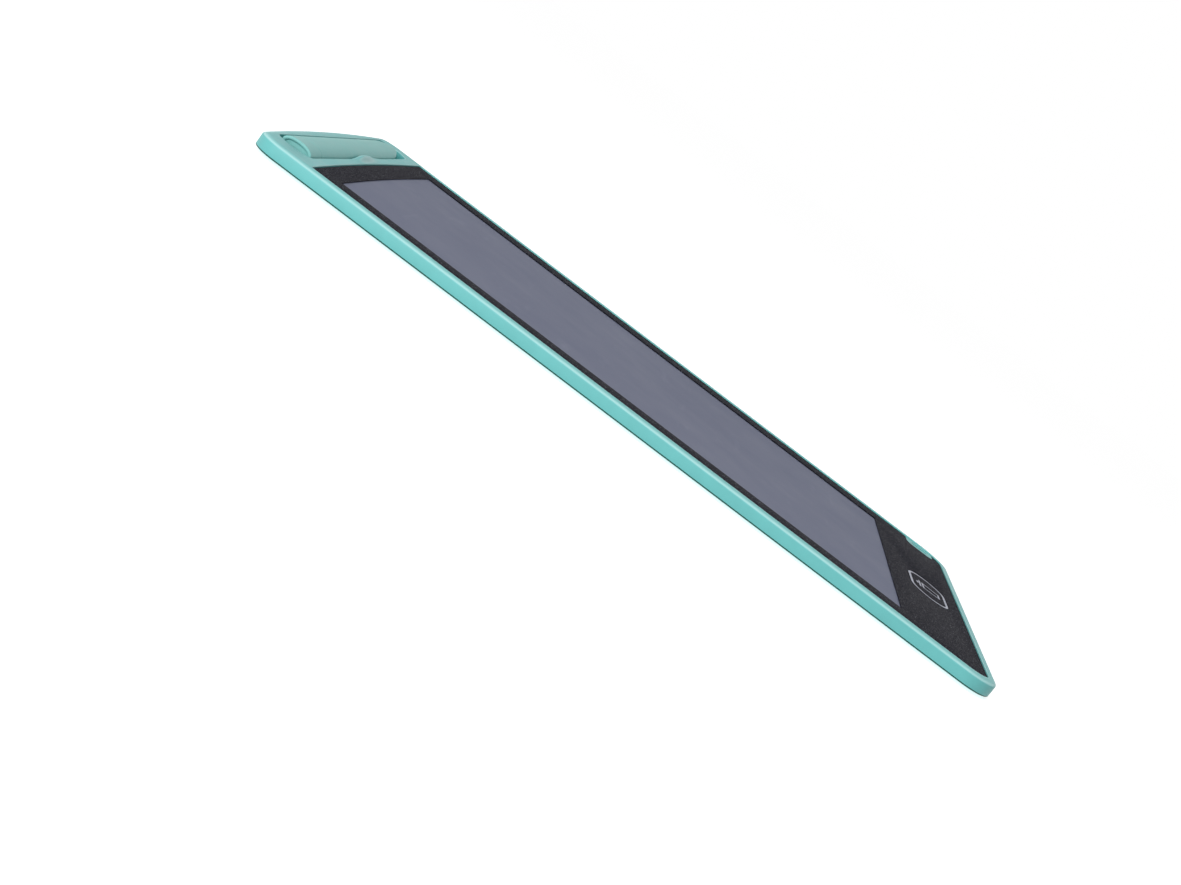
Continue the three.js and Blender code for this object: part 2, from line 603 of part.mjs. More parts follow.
function frontFrame() {
  const shell = caseLoft([
    ...bottomFilletSteps(0, FRAME_BOTTOM, FRAME_BOTTOM_FILLET),
    ...filletSteps(0, RIM_TOP, RIM_FILLET),
  ]);
  const grooveWallShape = pillOutline(
    GROOVE_LENGTH + 2 * GROOVE_WALL, GROOVE_WIDTH + 2 * GROOVE_WALL, GROOVE_CENTRE_X, GROOVE_Y,
  );
  const grooveToEnd = GROOVE_EDGE + GROOVE_WIDTH / 2;
  const eyeWall = pillOutline(
    EYE_SLOT_WIDTH + 2 * GROOVE_WALL, EYE_SLOT_LENGTH + 2 * GROOVE_WALL, EYE_SLOT_X, EYE_Y,
  );
  const cavity = cut(
    slab(caseOutline(FRAME_WALL), FRAME_BOTTOM - CUT, DECK_BOTTOM),
    slab(grooveWallShape, COVER_INSIDE, RIM_TOP),
    box(GROOVE_LENGTH, 2 * grooveToEnd, COVER_INSIDE, RIM_TOP, GROOVE_CENTRE_X, CASE_LENGTH / 2),
    slab(eyeWall, COVER_INSIDE, RIM_TOP),
    ...BOARD_SCREW_PLACES.map((x) => disc(
      BOARD_SCREW_RADIUS + BOSS_WALL + SEAT_GAP, BOARD_TOP, RIM_TOP, x, BOARD_Y,
    )),
  );
  const panelPocket = [PANEL_WIDTH + 2 * SEAT_GAP, PANEL_LENGTH + 2 * SEAT_GAP];
  const pocketWall = cut(
    box(
      panelPocket[0] + 2 * POCKET_WALL, panelPocket[1] + 2 * POCKET_WALL,
      PLATE_BOTTOM + SEAT_GAP, DECK_BOTTOM, 0, WINDOW_CENTRE_Y,
    ),
    box(
      4 * FLEX_WIDTH, panelPocket[1] / 2, 0, DECK_BOTTOM,
      FLEX_X, WINDOW_CENTRE_Y - panelPocket[1] / 2,
    ),
  );
  const hooks = hookPlaces().map(({ x, y, long }) => box(
    long ? 2 * HOOK_REACH : HOOK_WIDTH + 2 * SEAT_GAP,
    long ? HOOK_WIDTH + 2 * SEAT_GAP : 2 * HOOK_REACH,
    HOOK_BOTTOM - SEAT_GAP, HOOK_BOTTOM + HOOK_HEIGHT + SEAT_GAP, x, y,
  ));
  const frame = cut(
    shell,
    cut(cavity, pocketWall),
    slab(filmOutline(0), FILM_TOP, RIM_TOP + CUT),
    cut(slab(filmOutline(0), DECK_TOP, RIM_TOP + CUT), slab(eyeOutline(0), 0, RIM_TOP + 2 * CUT)),
    box(...panelPocket, 0, RIM_TOP, 0, WINDOW_CENTRE_Y),
    slab(
      pillOutline(GROOVE_LENGTH, GROOVE_WIDTH, GROOVE_CENTRE_X, GROOVE_Y),
      GROOVE_FLOOR, RIM_TOP + CUT, 8,
    ),
    slab(pillOutline(EYE_SLOT_WIDTH, EYE_SLOT_LENGTH, EYE_SLOT_X, EYE_Y), 0, RIM_TOP),
    slab(
      pillOutline(KEY_LENGTH + 2 * RUNNING_GAP, KEY_WIDTH + 2 * RUNNING_GAP, 0, KEY_Y),
      DECK_BOTTOM - CUT, RIM_TOP, KEY_STEPS,
    ),
    slab(
      pillOutline(
        KEY_LENGTH + 2 * (KEY_FLANGE + RUNNING_GAP), KEY_WIDTH + 2 * (KEY_FLANGE + RUNNING_GAP), 0, KEY_Y,
      ),
      DECK_BOTTOM - CUT, KEY_POCKET_TOP, KEY_STEPS,
    ),
    disc(BAY_RADIUS + BAY_WALL, DECK_BOTTOM - CUT, BAY_POCKET_TOP, CELL_X, CELL_Y),
    box(
      BOARD_LEFT - CELL_X + CONTACT_WIDTH, CONTACT_WIDTH + 2 * SEAT_GAP,
      DECK_BOTTOM - CUT, BAY_POCKET_TOP,
      (BOARD_LEFT + CELL_X + CONTACT_WIDTH) / 2, CELL_Y + CONTACT_OFFSET,
    ),
    ...BOARD_SCREW_PLACES.map((x) => disc(
      BOARD_SCREW_RADIUS + TRIM_GAP, BOARD_TOP - CUT, BOARD_TOP + BOARD_SCREW_GRIP + SEAT_GAP,
      x, BOARD_Y,
    )),
    ...hooks,
  );
  return join(frame, grooveHump(), ...grooveNubs());
}

// Rear cover

// Low ribs in a grid, which carry the stiffening plate.
function coverRibs() {
  const [width, length] = [PANEL_WIDTH - 2 * PLATE_MARGIN, PLATE_LENGTH];
  const across = Math.floor(width / RIB_PITCH);
  const along = Math.floor(length / RIB_PITCH);
  const [bottom, top] = [COVER_INSIDE - COVER_EDGE / 2, PLATE_BOTTOM];
  return [
    ...spread(across, width).map((x) => box(RIB_WALL, length, bottom, top, x, WINDOW_CENTRE_Y)),
    ...spread(along, length - RIB_WALL).map((y) => box(
      width - RIB_WALL, RIB_WALL, bottom, top - CROSS_RIB_STEP, 0, WINDOW_CENTRE_Y + y,
    )),
  ];
}

function rearCover() {
  const lipInset = FRAME_WALL + SEAT_GAP;
  const plate = join(
    caseLoft([
      [COVER_INSET + COVER_TAPER, REAR_Z],
      [COVER_INSET, FRAME_BOTTOM - COVER_LAND],
      [COVER_INSET, FRAME_BOTTOM],
    ]),
    slab(caseOutline(lipInset), FRAME_BOTTOM - COVER_EDGE / 2, COVER_INSIDE),
  );
  const lipEnd = FILM_TOP_Y - CASE_LENGTH / 2;
  const lip = cut(
    slab(caseOutline(lipInset), COVER_INSIDE - COVER_EDGE / 2, COVER_INSIDE + LIP_HEIGHT),
    slab(caseOutline(lipInset + LIP_WALL), 0, RIM_TOP),
    box(CASE_WIDTH, CASE_LENGTH, 0, RIM_TOP, 0, CASE_LENGTH + lipEnd - GROOVE_WALL),
  );
  const hooks = hookPlaces().map(({ x, y, long }) => {
    const reach = HOOK_REACH + LIP_WALL / 2;
    const back = SEAT_GAP - HOOK_REACH + reach / 2;
    return box(
      long ? reach : HOOK_WIDTH, long ? HOOK_WIDTH : reach,
      HOOK_BOTTOM, HOOK_BOTTOM + HOOK_HEIGHT,
      long ? x - Math.sign(x) * back : x, long ? y : y - Math.sign(y) * back,
    );
  });
  const bay = disc(
    BAY_RADIUS + BAY_WALL, COVER_INSIDE - COVER_EDGE / 2, COVER_INSIDE + BAY_HEIGHT, CELL_X, CELL_Y,
  );
  const screwBoss = disc(
    DOOR_SCREW_RADIUS + RUNNING_GAP + BOSS_WALL, COVER_INSIDE - COVER_EDGE / 2,
    COVER_INSIDE + BAY_HEIGHT, DOOR_SCREW_X, CELL_Y,
  );
  const doorMiddle = DOOR_HINGE_X + DOOR_LENGTH / 2;
  const lockSlotX = LOCK_X + LOCK_TRAVEL / 2;
  return cut(
    join(plate, lip, bay, screwBoss, ...hooks, ...coverRibs()),
    slab(
      roundedOutline(
        DOOR_LENGTH + 2 * RUNNING_GAP, DOOR_WIDTH + 2 * RUNNING_GAP,
        DOOR_CORNER + RUNNING_GAP, DOOR_CORNER + RUNNING_GAP, doorMiddle, CELL_Y,
      ),
      REAR_Z - CUT, DOOR_TOP,
    ),
    disc(BAY_RADIUS, 0, RIM_TOP, CELL_X, CELL_Y),
    disc(DOOR_SCREW_RADIUS + RUNNING_GAP, 0, RIM_TOP, DOOR_SCREW_X, CELL_Y),
    ...DOOR_TAB_PLACES.map((y) => box(
      2 * DOOR_NECK + 2 * SEAT_GAP, DOOR_TAB_WIDTH + 2 * SEAT_GAP, 0, RIM_TOP,
      DOOR_HINGE_X + DOOR_NECK + SEAT_GAP - TRIM_GAP, y,
    )),
    box(
      2 * CONTACT_WIDTH, CONTACT_WIDTH + 2 * SEAT_GAP, COVER_INSIDE, RIM_TOP,
      CELL_X + CELL_RADIUS, CELL_Y - CONTACT_OFFSET,
    ),
    slab(
      pillOutline(
        LOCK_KNOB_LENGTH + LOCK_TRAVEL + 2 * RUNNING_GAP, LOCK_KNOB_WIDTH + 2 * RUNNING_GAP,
        lockSlotX, LOCK_Y,
      ),
      REAR_Z - CUT, REAR_Z + LOCK_RECESS_DEPTH,
    ),
    box(
      LOCK_NECK + LOCK_TRAVEL + 2 * RUNNING_GAP, LOCK_NECK + 2 * RUNNING_GAP, 0, RIM_TOP,
      lockSlotX, LOCK_Y,
    ),
    slab(pillOutline(EYE_SLOT_WIDTH, EYE_SLOT_LENGTH, EYE_SLOT_X, EYE_Y), 0, RIM_TOP),
    ...footPlaces().map(([x, y]) => disc(
      FOOT_RADIUS + TRIM_GAP, REAR_Z - CUT, REAR_Z + FOOT_RECESS, x, y,
    )),
  );
}

function footPlaces() {
  return [[-FOOT_X, FOOT_Y], [FOOT_X, FOOT_Y], [-FOOT_X, -FOOT_Y], [FOOT_X, -FOOT_Y]];
}

// A foot is a low disc with a rounded lower edge.
function rubberFoot(x, y) {
  return turned([
    [0, 0], [FOOT_RADIUS - FOOT_ROUND, 0], [FOOT_RADIUS - FOOT_BEVEL, FOOT_BEVEL],
    [FOOT_RADIUS, FOOT_ROUND], [FOOT_RADIUS, REAR_Z + FOOT_RECESS], [0, REAR_Z + FOOT_RECESS],
  ], x, y);
}

// Face film and the layers of the screen

// The window, grown all round, as a solid between two heights.
function windowBox(grow, bottom, top) {
  const outline = roundedOutline(
    WINDOW_WIDTH + 2 * grow, WINDOW_LENGTH + 2 * grow, WINDOW_CORNER, WINDOW_CORNER,
    0, WINDOW_CENTRE_Y, WINDOW_BOW,
  );
  return slab(outline, bottom, top, 2);
}

function filmLayer(inset, windowGrow, keyGrow, bottom, top) {
  return cut(
    slab(filmOutline(inset), bottom, top),
    slab(eyeOutline(inset), 0, RIM_TOP),
    windowBox(windowGrow, 0, RIM_TOP),
    slab(pillOutline(KEY_LENGTH + 2 * keyGrow, KEY_WIDTH + 2 * keyGrow, 0, KEY_Y), 0, RIM_TOP, KEY_STEPS),
  );
}

function panelLayer(tail, bottom, top) {
  const length = PANEL_LENGTH - PANEL_TAIL + tail;
  const high = WINDOW_CENTRE_Y + PANEL_LENGTH / 2;
  return box(PANEL_WIDTH, length, bottom, top, 0, high - length / 2);
}

function backingLayer(bottom, top) {
  return box(PANEL_WIDTH - 2 * PLATE_MARGIN, PLATE_LENGTH, bottom, top, 0, WINDOW_CENTRE_Y);
}

// Erase key: a pill that shows in the film, on a wider flange that the deck holds down.
function eraseKey() {
  return join(
    slab(pillOutline(KEY_LENGTH, KEY_WIDTH, 0, KEY_Y), KEY_FLANGE_BOTTOM, FILM_TOP, KEY_STEPS),
    slab(
      pillOutline(KEY_LENGTH + 2 * KEY_FLANGE, KEY_WIDTH + 2 * KEY_FLANGE, 0, KEY_Y),
      KEY_FLANGE_BOTTOM, KEY_FLANGE_TOP, KEY_STEPS,
    ),
    disc(KEY_STEM_RADIUS, KEY_FLANGE_BOTTOM - KEY_STEM_DROP, FILM_BOTTOM, 0, KEY_Y),
  );
}

// Circuit board

function circuitBoard() {
  return cut(
    slab(
      roundedOutline(
        BOARD_RIGHT - BOARD_LEFT, BOARD_WIDTH, BOARD_CORNER, BOARD_CORNER, BOARD_MIDDLE, BOARD_Y,
      ),
      BOARD_BOTTOM, BOARD_TOP,
    ),
    ...BOARD_SCREW_PLACES.map((x) => disc(
      BOARD_SCREW_RADIUS + TRIM_GAP, 0, RIM_TOP, x, BOARD_Y,
    )),
  );
}

function boardScrew(x) {
  const headBottom = BOARD_BOTTOM - BOARD_SCREW_HEAD_HEIGHT;
  const point = BOARD_TOP + BOARD_SCREW_GRIP;
  return turned([
    [0, headBottom], [BOARD_SCREW_HEAD - BOARD_SCREW_BEVEL, headBottom],
    [BOARD_SCREW_HEAD, headBottom + BOARD_SCREW_BEVEL], [BOARD_SCREW_HEAD, BOARD_BOTTOM],
    [BOARD_SCREW_RADIUS, BOARD_BOTTOM], [BOARD_SCREW_RADIUS, point - BOARD_SCREW_POINT], [0, point],
  ], x, BOARD_Y);
}

// A snap dome on its square base.
function domeSwitch() {
  const base = DOME_HEIGHT / 2;
  const profile = [[0, BOARD_TOP + base / 2], [DOME_RADIUS, BOARD_TOP + base / 2]];
  for (let step = 0; step < DOME_STEPS; step += 1) {
    const angle = (step / DOME_STEPS) * (Math.PI / 2);
    profile.push([DOME_RADIUS * Math.cos(angle), BOARD_TOP + base + base * Math.sin(angle)]);
  }
  return join(
    box(DOME_SIZE, DOME_SIZE, BOARD_TOP, BOARD_TOP + base, 0, KEY_Y),
    turned([...profile, [0, BOARD_TOP + DOME_HEIGHT]], 0, KEY_Y),
  );
}

// A small outline package: a body with a row of bent leads on each side.
function driverChip() {
  const shoulder = BOARD_TOP + CHIP_HEIGHT / 2;
  const sole = BOARD_TOP + CONTACT_THICKNESS / 2;
  const leads = spread(LEADS_PER_SIDE, LEADS_PER_SIDE * LEAD_PITCH).flatMap((x) => [-1, 1].map((side) => {
    const root = CHIP_Y + side * (CHIP_SIZE / 2 - LEAD_BEND);
    const bend = root + side * LEAD_SHOULDER;
    const path = [
      [root, shoulder],
      [bend, shoulder],
      [bend + side * LEAD_BEND, sole],
      [bend + side * (LEAD_BEND + LEAD_FOOT), sole],
    ];
    return stripAlongY(side > 0 ? path : path.reverse(), CONTACT_THICKNESS, LEAD_WIDTH, CHIP_X + x);
  }));
  const bodyLength = CHIP_SIZE + 2 * LEAD_FOOT;
  const top = BOARD_TOP + CHIP_HEIGHT;
  return join(box(bodyLength, CHIP_SIZE, BOARD_TOP + CHIP_STANDOFF, top, CHIP_X, CHIP_Y), ...leads);
}

// A drum core on a square base.
function boostInductor() {
  const top = BOARD_TOP + INDUCTOR_HEIGHT;
  const foot = BOARD_TOP + INDUCTOR_BASE;
  return join(
    box(INDUCTOR_SIZE, INDUCTOR_SIZE, BOARD_TOP, foot, INDUCTOR_X, INDUCTOR_Y),
    turned([
      [0, foot - INDUCTOR_BASE / 2], [INDUCTOR_CORE_RADIUS, foot - INDUCTOR_BASE / 2],
      [INDUCTOR_CORE_RADIUS, top - INDUCTOR_FLANGE], [INDUCTOR_FLANGE_RADIUS, top - INDUCTOR_FLANGE],
      [INDUCTOR_FLANGE_RADIUS, top], [0, top],
    ], INDUCTOR_X, INDUCTOR_Y),
  );
}

// A ceramic chip capacitor with its two end caps a little proud.
function storageCapacitor() {
  const top = BOARD_TOP + CAPACITOR_HEIGHT;
  const width = CAPACITOR_LENGTH / 2;
  const capOffset = (CAPACITOR_LENGTH - CAPACITOR_CAP) / 2;
  return join(
    box(
      CAPACITOR_LENGTH - CAPACITOR_CAP, width - 2 * CAPACITOR_CAP_PROUD,
      BOARD_TOP + CAPACITOR_CAP_PROUD, top - CAPACITOR_CAP_PROUD, CAPACITOR_X, CAPACITOR_Y,
    ),
    ...[-1, 1].map((side) => box(
      CAPACITOR_CAP, width, BOARD_TOP, top, CAPACITOR_X + side * capOffset, CAPACITOR_Y,
    )),
  );
}

// The flex tail leaves the exposed ledge of the front film and bends down onto the board.
function flexTail() {
  const ledge = DECK_TOP - PANEL_FILM - FLEX_THICKNESS / 2;
  const ledgeEnd = WINDOW_CENTRE_Y - PANEL_LENGTH / 2;
  const boardZ = BOARD_TOP + FLEX_THICKNESS / 2;
  const path = [[ledgeEnd + PANEL_TAIL - SEAT_GAP, ledge]];
  for (let step = 0; step <= FLEX_STEPS; step += 1) {
    const turn = (1 - Math.cos((step / FLEX_STEPS) * Math.PI)) / 2;
    path.push([ledgeEnd + FLEX_BEND_TOP - FLEX_BEND_REACH * turn, ledge - (ledge - boardZ) * turn]);
  }
  path.push([BOARD_Y + BOARD_WIDTH / 2 - FLEX_LANDING, boardZ]);
  return stripAlongY(path.reverse(), FLEX_THICKNESS, FLEX_WIDTH, FLEX_X);
}

// Coin cell and contacts

function coinCell() {
  const [bottom, top] = [CELL_BOTTOM, CELL_TOP];
  const capTop = top - CELL_CAP_RISE;
  return turned([
    [0, bottom], [CELL_RADIUS - CELL_EDGE, bottom], [CELL_RADIUS, bottom + CELL_EDGE],
    [CELL_RADIUS, top - CELL_SHOULDER], [CELL_RADIUS - CELL_SHOULDER, capTop - CELL_CAP_RISE / 2],
    [CELL_RADIUS - CELL_CAN_RIM, capTop], [CELL_RADIUS - CELL_CAN_RIM - CELL_CAP_RISE, top], [0, top],
  ], CELL_X, CELL_Y, CELL_SEGMENTS);
}

// A leaf that runs from the board over the cell's rim and presses on its top.
function negativeContact() {
  const soldered = BOARD_TOP + CONTACT_THICKNESS / 2;
  const crest = CONTACT_Z + CONTACT_CREST;
  const dip = CELL_X + CONTACT_DIP_REACH / 2;
  return stripAlongX([
    [dip - CONTACT_DIP_REACH, CONTACT_Z + CONTACT_LIFT],
    [dip, CELL_TOP + CONTACT_DIP],
    [dip + CONTACT_DIP_REACH, crest],
    [BOARD_LEFT - CONTACT_SOLDERED / 2, crest],
    [BOARD_LEFT + CONTACT_SIDE_HEIGHT, soldered],
    [BOARD_LEFT + CONTACT_SOLDERED, soldered],
  ], CONTACT_THICKNESS, CONTACT_WIDTH, CELL_Y + CONTACT_OFFSET);
}

// A leaf that stands up against the side of the cell.
function positiveContact() {
  const side = CELL_X + Math.sqrt(CELL_RADIUS ** 2 - (CONTACT_OFFSET - CONTACT_WIDTH / 2) ** 2);
  const soldered = BOARD_TOP + CONTACT_THICKNESS / 2;
  return stripAlongX([
    [side + CONTACT_SIDE_GAP + CONTACT_DIP, CELL_BOTTOM + CONTACT_SIDE_HEIGHT / 2],
    [side + CONTACT_SIDE_GAP, CELL_BOTTOM + CONTACT_SIDE_HEIGHT],
    [side + CONTACT_SIDE_GAP + CONTACT_SIDE_HEIGHT, soldered],
    [BOARD_LEFT + CONTACT_SOLDERED, soldered],
  ], CONTACT_THICKNESS, CONTACT_WIDTH, CELL_Y - CONTACT_OFFSET);
}

// Battery door, hooked by two tabs at one end and held by a screw at the other.
function batteryDoor() {
  const middle = DOOR_HINGE_X + DOOR_LENGTH / 2;
  const plate = slab(
    roundedOutline(DOOR_LENGTH, DOOR_WIDTH, DOOR_CORNER, DOOR_CORNER, middle, CELL_Y),
    REAR_Z, DOOR_TOP,
  );
  const tabBottom = COVER_INSIDE + TRAVEL_MARGIN;
  const tabs = DOOR_TAB_PLACES.map((y) => join(
    box(DOOR_NECK, DOOR_TAB_WIDTH, REAR_Z + DOOR_THICKNESS / 2, tabBottom + DOOR_TAB_THICKNESS,
      DOOR_HINGE_X + SEAT_GAP + DOOR_NECK / 2, y),
    box(DOOR_NECK + DOOR_TAB_REACH + SEAT_GAP, DOOR_TAB_WIDTH,
      tabBottom, tabBottom + DOOR_TAB_THICKNESS,
      DOOR_HINGE_X + (SEAT_GAP + DOOR_NECK - DOOR_TAB_REACH) / 2, y),
  ));
  const grips = spread(GRIPS, GRIPS_SPAN).map((x) => box(
    GRIP_WIDTH, DOOR_WIDTH / 3, REAR_Z - CUT, REAR_Z + GRIP_DEPTH,
    DOOR_HINGE_X + GRIPS_FROM_HINGE + x, CELL_Y,
  ));
  const seat = turned([
    [0, REAR_Z - CUT], [DOOR_SCREW_HEAD + TRIM_GAP, REAR_Z - CUT], [DOOR_SCREW_HEAD + TRIM_GAP, REAR_Z],
    [DOOR_SCREW_RADIUS + TRIM_GAP, DOOR_TOP], [DOOR_SCREW_RADIUS + TRIM_GAP, DOOR_TOP + CUT],
    [0, DOOR_TOP + CUT],
  ], DOOR_SCREW_X, CELL_Y);
  return cut(
    join(plate, disc(CELL_RADIUS, DOOR_TOP - DOOR_THICKNESS / 2, CELL_BOTTOM, CELL_X, CELL_Y), ...tabs),
    seat,
    ...grips,
  );
}

// A countersunk screw with a cross recess.
function doorScrew() {
  const [top, point] = [REAR_Z + DOOR_SCREW_SUNK, REAR_Z + DOOR_SCREW_LENGTH];
  const body = turned([
    [0, top], [DOOR_SCREW_HEAD - 2 * DOOR_SCREW_SUNK, top], [DOOR_SCREW_RADIUS, DOOR_TOP - DOOR_SCREW_SUNK],
    [DOOR_SCREW_RADIUS, point - DOOR_SCREW_POINT], [DOOR_SCREW_TIP, point], [0, point],
  ], DOOR_SCREW_X, CELL_Y);
  return cut(
    body,
    box(CROSS_LENGTH, CROSS_WIDTH, 0, REAR_Z + CROSS_DEPTH, DOOR_SCREW_X, CELL_Y),
    box(CROSS_WIDTH, CROSS_LENGTH, 0, REAR_Z + CROSS_DEPTH, DOOR_SCREW_X, CELL_Y),
  );
}

// Lock slider: a ridged knob in the rear recess, a neck and a flange that keeps it in.
function lockSlider() {
  const bottom = REAR_Z - TRAVEL_MARGIN;
  const flangeBottom = COVER_INSIDE + TRAVEL_MARGIN;
  const ridges = spread(RIDGES, LOCK_KNOB_LENGTH - LOCK_FLANGE).map((x) => box(
    RIDGE_WIDTH, LOCK_KNOB_WIDTH, bottom - CUT, bottom + RIDGE_DEPTH, LOCK_X + x, LOCK_Y,
  ));
  return cut(
    join(
      slab(
        pillOutline(LOCK_KNOB_LENGTH, LOCK_KNOB_WIDTH, LOCK_X, LOCK_Y),
        bottom, bottom + LOCK_KNOB_HEIGHT,
      ),
      box(LOCK_NECK, LOCK_NECK, bottom + LOCK_KNOB_HEIGHT / 2, flangeBottom + LOCK_FLANGE_THICKNESS / 2,
        LOCK_X, LOCK_Y),
      box(LOCK_NECK + 2 * LOCK_FLANGE, LOCK_NECK + 2 * LOCK_FLANGE,
        flangeBottom, flangeBottom + LOCK_FLANGE_THICKNESS, LOCK_X, LOCK_Y),
    ),
    ...ridges,
  );
}

// A thin wiper on the slider, with a finger that rubs the board's pads.
function lockWiper() {
  const bottom = COVER_INSIDE + TRAVEL_MARGIN + LOCK_FLANGE_THICKNESS;
  return box(LOCK_NECK, LOCK_NECK, bottom, bottom + WIPER_THICKNESS, LOCK_X, LOCK_Y);
}

// Stylus

// A flattened round section across X: a superellipse with its lowest point at a given height.
function stylusRing(x, width, height, bottom, count = 28) {
  const power = 2 / STYLUS_ROUNDNESS;
  return Array.from({ length: count }, (unused, i) => {
    const angle = (i / count) * 2 * Math.PI;
    const [c, s] = [Math.cos(angle), Math.sin(angle)];
    return new THREE.Vector3(
      x,
      GROOVE_Y + (width / 2) * Math.sign(c) * Math.abs(c) ** power,
      bottom + (height / 2) * (1 + Math.sign(s) * Math.abs(s) ** power),
    );
  });
}

const STYLUS_MIDDLE_Z = STYLUS_BOTTOM + STYLUS_HEIGHT / 2;
const STYLUS_SEAM_X = STYLUS_TAIL_X + STYLUS_CAP_LENGTH;
const STYLUS_TIP_X = STYLUS_TAIL_X + STYLUS_LENGTH - NIB_PROUD;
const PLUG_WIDTH = STYLUS_WIDTH - 2 * STYLUS_PLUG_WALL;
const PLUG_HEIGHT = STYLUS_HEIGHT - 2 * STYLUS_PLUG_WALL;

function roundBar(radius, fromX, toX, rounded) {
  const length = toX - fromX;
  const profile = [new THREE.Vector2(0, 0), new THREE.Vector2(radius, 0)];
  const steps = rounded ? 5 : 0;
  for (let step = 0; step < steps; step += 1) {
    const angle = (step / steps) * (Math.PI / 2);
    profile.push(new THREE.Vector2(
      radius * Math.cos(angle), length - radius + radius * Math.sin(angle),
    ));
  }
  if (!rounded) profile.push(new THREE.Vector2(radius, length));
  profile.push(new THREE.Vector2(0, length));
  const geometry = new THREE.LatheGeometry(profile, 20).rotateZ(-Math.PI / 2);
  return solid(geometry.translate(fromX, GROOVE_Y, STYLUS_MIDDLE_Z));
}

function stylusBarrel() {
  const rings = [
    stylusRing(STYLUS_SEAM_X + TRIM_GAP / 2, STYLUS_WIDTH, STYLUS_HEIGHT, STYLUS_BOTTOM),
  ];
  for (let step = 0; step <= TAPER_STEPS; step += 1) {
    const share = step / TAPER_STEPS;
    const narrow = share ** STYLUS_TAPER_POWER;
    const width = STYLUS_WIDTH + (STYLUS_TIP_WIDTH - STYLUS_WIDTH) * narrow;
    const height = STYLUS_HEIGHT + (STYLUS_TIP_HEIGHT - STYLUS_HEIGHT) * narrow;
    const x = STYLUS_TIP_X - STYLUS_TAPER_LENGTH * (1 - share);
    rings.push(stylusRing(x, width, height, STYLUS_MIDDLE_Z - height / 2));
  }
  const plugEnd = STYLUS_SEAM_X + STYLUS_PLUG_LENGTH + SEAT_GAP;
  const grow = 2 * SEAT_GAP;
  return cut(
    loft(rings),
    loft([STYLUS_SEAM_X - CUT, plugEnd].map((x) => stylusRing(
      x, PLUG_WIDTH + grow, PLUG_HEIGHT + grow, STYLUS_MIDDLE_Z - (PLUG_HEIGHT + grow) / 2,
    ))),
    roundBar(NIB_RADIUS + SEAT_GAP, STYLUS_TIP_X + NIB_PROUD - NIB_LENGTH - SEAT_GAP,
      STYLUS_TIP_X + CUT, false),
  );
}

// The tail of the stylus: dished at its end, with a plug that seats in the barrel.
function stylusTail() {
  const section = (x, shrink) => stylusRing(
    x, STYLUS_WIDTH - 2 * shrink, STYLUS_HEIGHT - 2 * shrink, STYLUS_BOTTOM + shrink,
  );
  const outside = [
    section(STYLUS_TAIL_X, STYLUS_CAP_EDGE),
    section(STYLUS_TAIL_X + STYLUS_CAP_EDGE, 0),
    section(STYLUS_SEAM_X - TRIM_GAP / 2, 0),
  ];
  const hollow = [
    section(STYLUS_TAIL_X - CUT, STYLUS_CAP_WALL),
    section(STYLUS_TAIL_X + STYLUS_CAP_HOLLOW - STYLUS_CAP_FLOOR, STYLUS_CAP_WALL),
    section(STYLUS_TAIL_X + STYLUS_CAP_HOLLOW, STYLUS_CAP_WALL + STYLUS_CAP_FLOOR),
  ];
  const plug = [STYLUS_SEAM_X - CUT, STYLUS_SEAM_X + STYLUS_PLUG_LENGTH]
    .map((x) => section(x, STYLUS_PLUG_WALL));
  return join(cut(loft(outside), loft(hollow)), loft(plug));
}

// The assembly

addPiece('rear_cover', rearCover(), PLASTIC);
addPiece('front_frame', frontFrame(), PLASTIC);
footPlaces().forEach(([x, y], i) => addPiece(`rubber_foot_${i + 1}`, rubberFoot(x, y), RUBBER));

addPiece('bezel_film', filmLayer(TRIM_GAP, 0, TRIM_GAP, FILM_BOTTOM, FILM_TOP), BLACK_FILM);
addPiece('film_adhesive', filmLayer(TAPE_INSET, TAPE_INSET, TAPE_INSET, DECK_TOP, FILM_BOTTOM), TAPE);
addPiece('lcd_front_film', panelLayer(PANEL_TAIL, DECK_TOP - PANEL_FILM, DECK_TOP), SCREEN);
addPiece('lcd_back_film', panelLayer(0, PANEL_BOTTOM, DECK_TOP - PANEL_FILM), BACK_COAT);
addPiece('foam_pad', backingLayer(FOAM_BOTTOM, PANEL_BOTTOM), FOAM);
addPiece('support_plate', backingLayer(PLATE_BOTTOM, FOAM_BOTTOM), TAPE);

addPiece('erase_button', eraseKey(), BLACK_FILM);

addPiece('circuit_board', circuitBoard(), BOARD);
BOARD_SCREW_PLACES.forEach((x, i) => addPiece(`board_screw_${i + 1}`, boardScrew(x), STEEL));
addPiece('dome_switch', domeSwitch(), STEEL);
addPiece('driver_chip', driverChip(), EPOXY);
addPiece('boost_inductor', boostInductor(), EPOXY);
addPiece('storage_capacitor', storageCapacitor(), CERAMIC);
addPiece('flex_tail', flexTail(), FLEX);

addPiece('coin_cell', coinCell(), STEEL);
addPiece('negative_contact', negativeContact(), STEEL);
addPiece('positive_contact', positiveContact(), STEEL);
addPiece('battery_door', batteryDoor(), PLASTIC);
addPiece('door_screw', doorScrew(), STEEL);
addPiece('lock_slider', lockSlider(), BLACK_FILM);
addPiece('lock_wiper', lockWiper(), STEEL);

addPiece('stylus_barrel', stylusBarrel(), STYLUS_PLASTIC);
addPiece('stylus_tail', stylusTail(), STYLUS_PLASTIC);
addPiece('stylus_nib', roundBar(
  NIB_RADIUS, STYLUS_TIP_X + NIB_PROUD - NIB_LENGTH, STYLUS_TIP_X + NIB_PROUD, true,
), BLACK_FILM);

export default tablet;
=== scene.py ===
"""Looks of an LCD writing tablet with its stylus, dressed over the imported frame. Lengths are in metres."""

import logging
import math
from dataclasses import dataclass
from enum import Enum

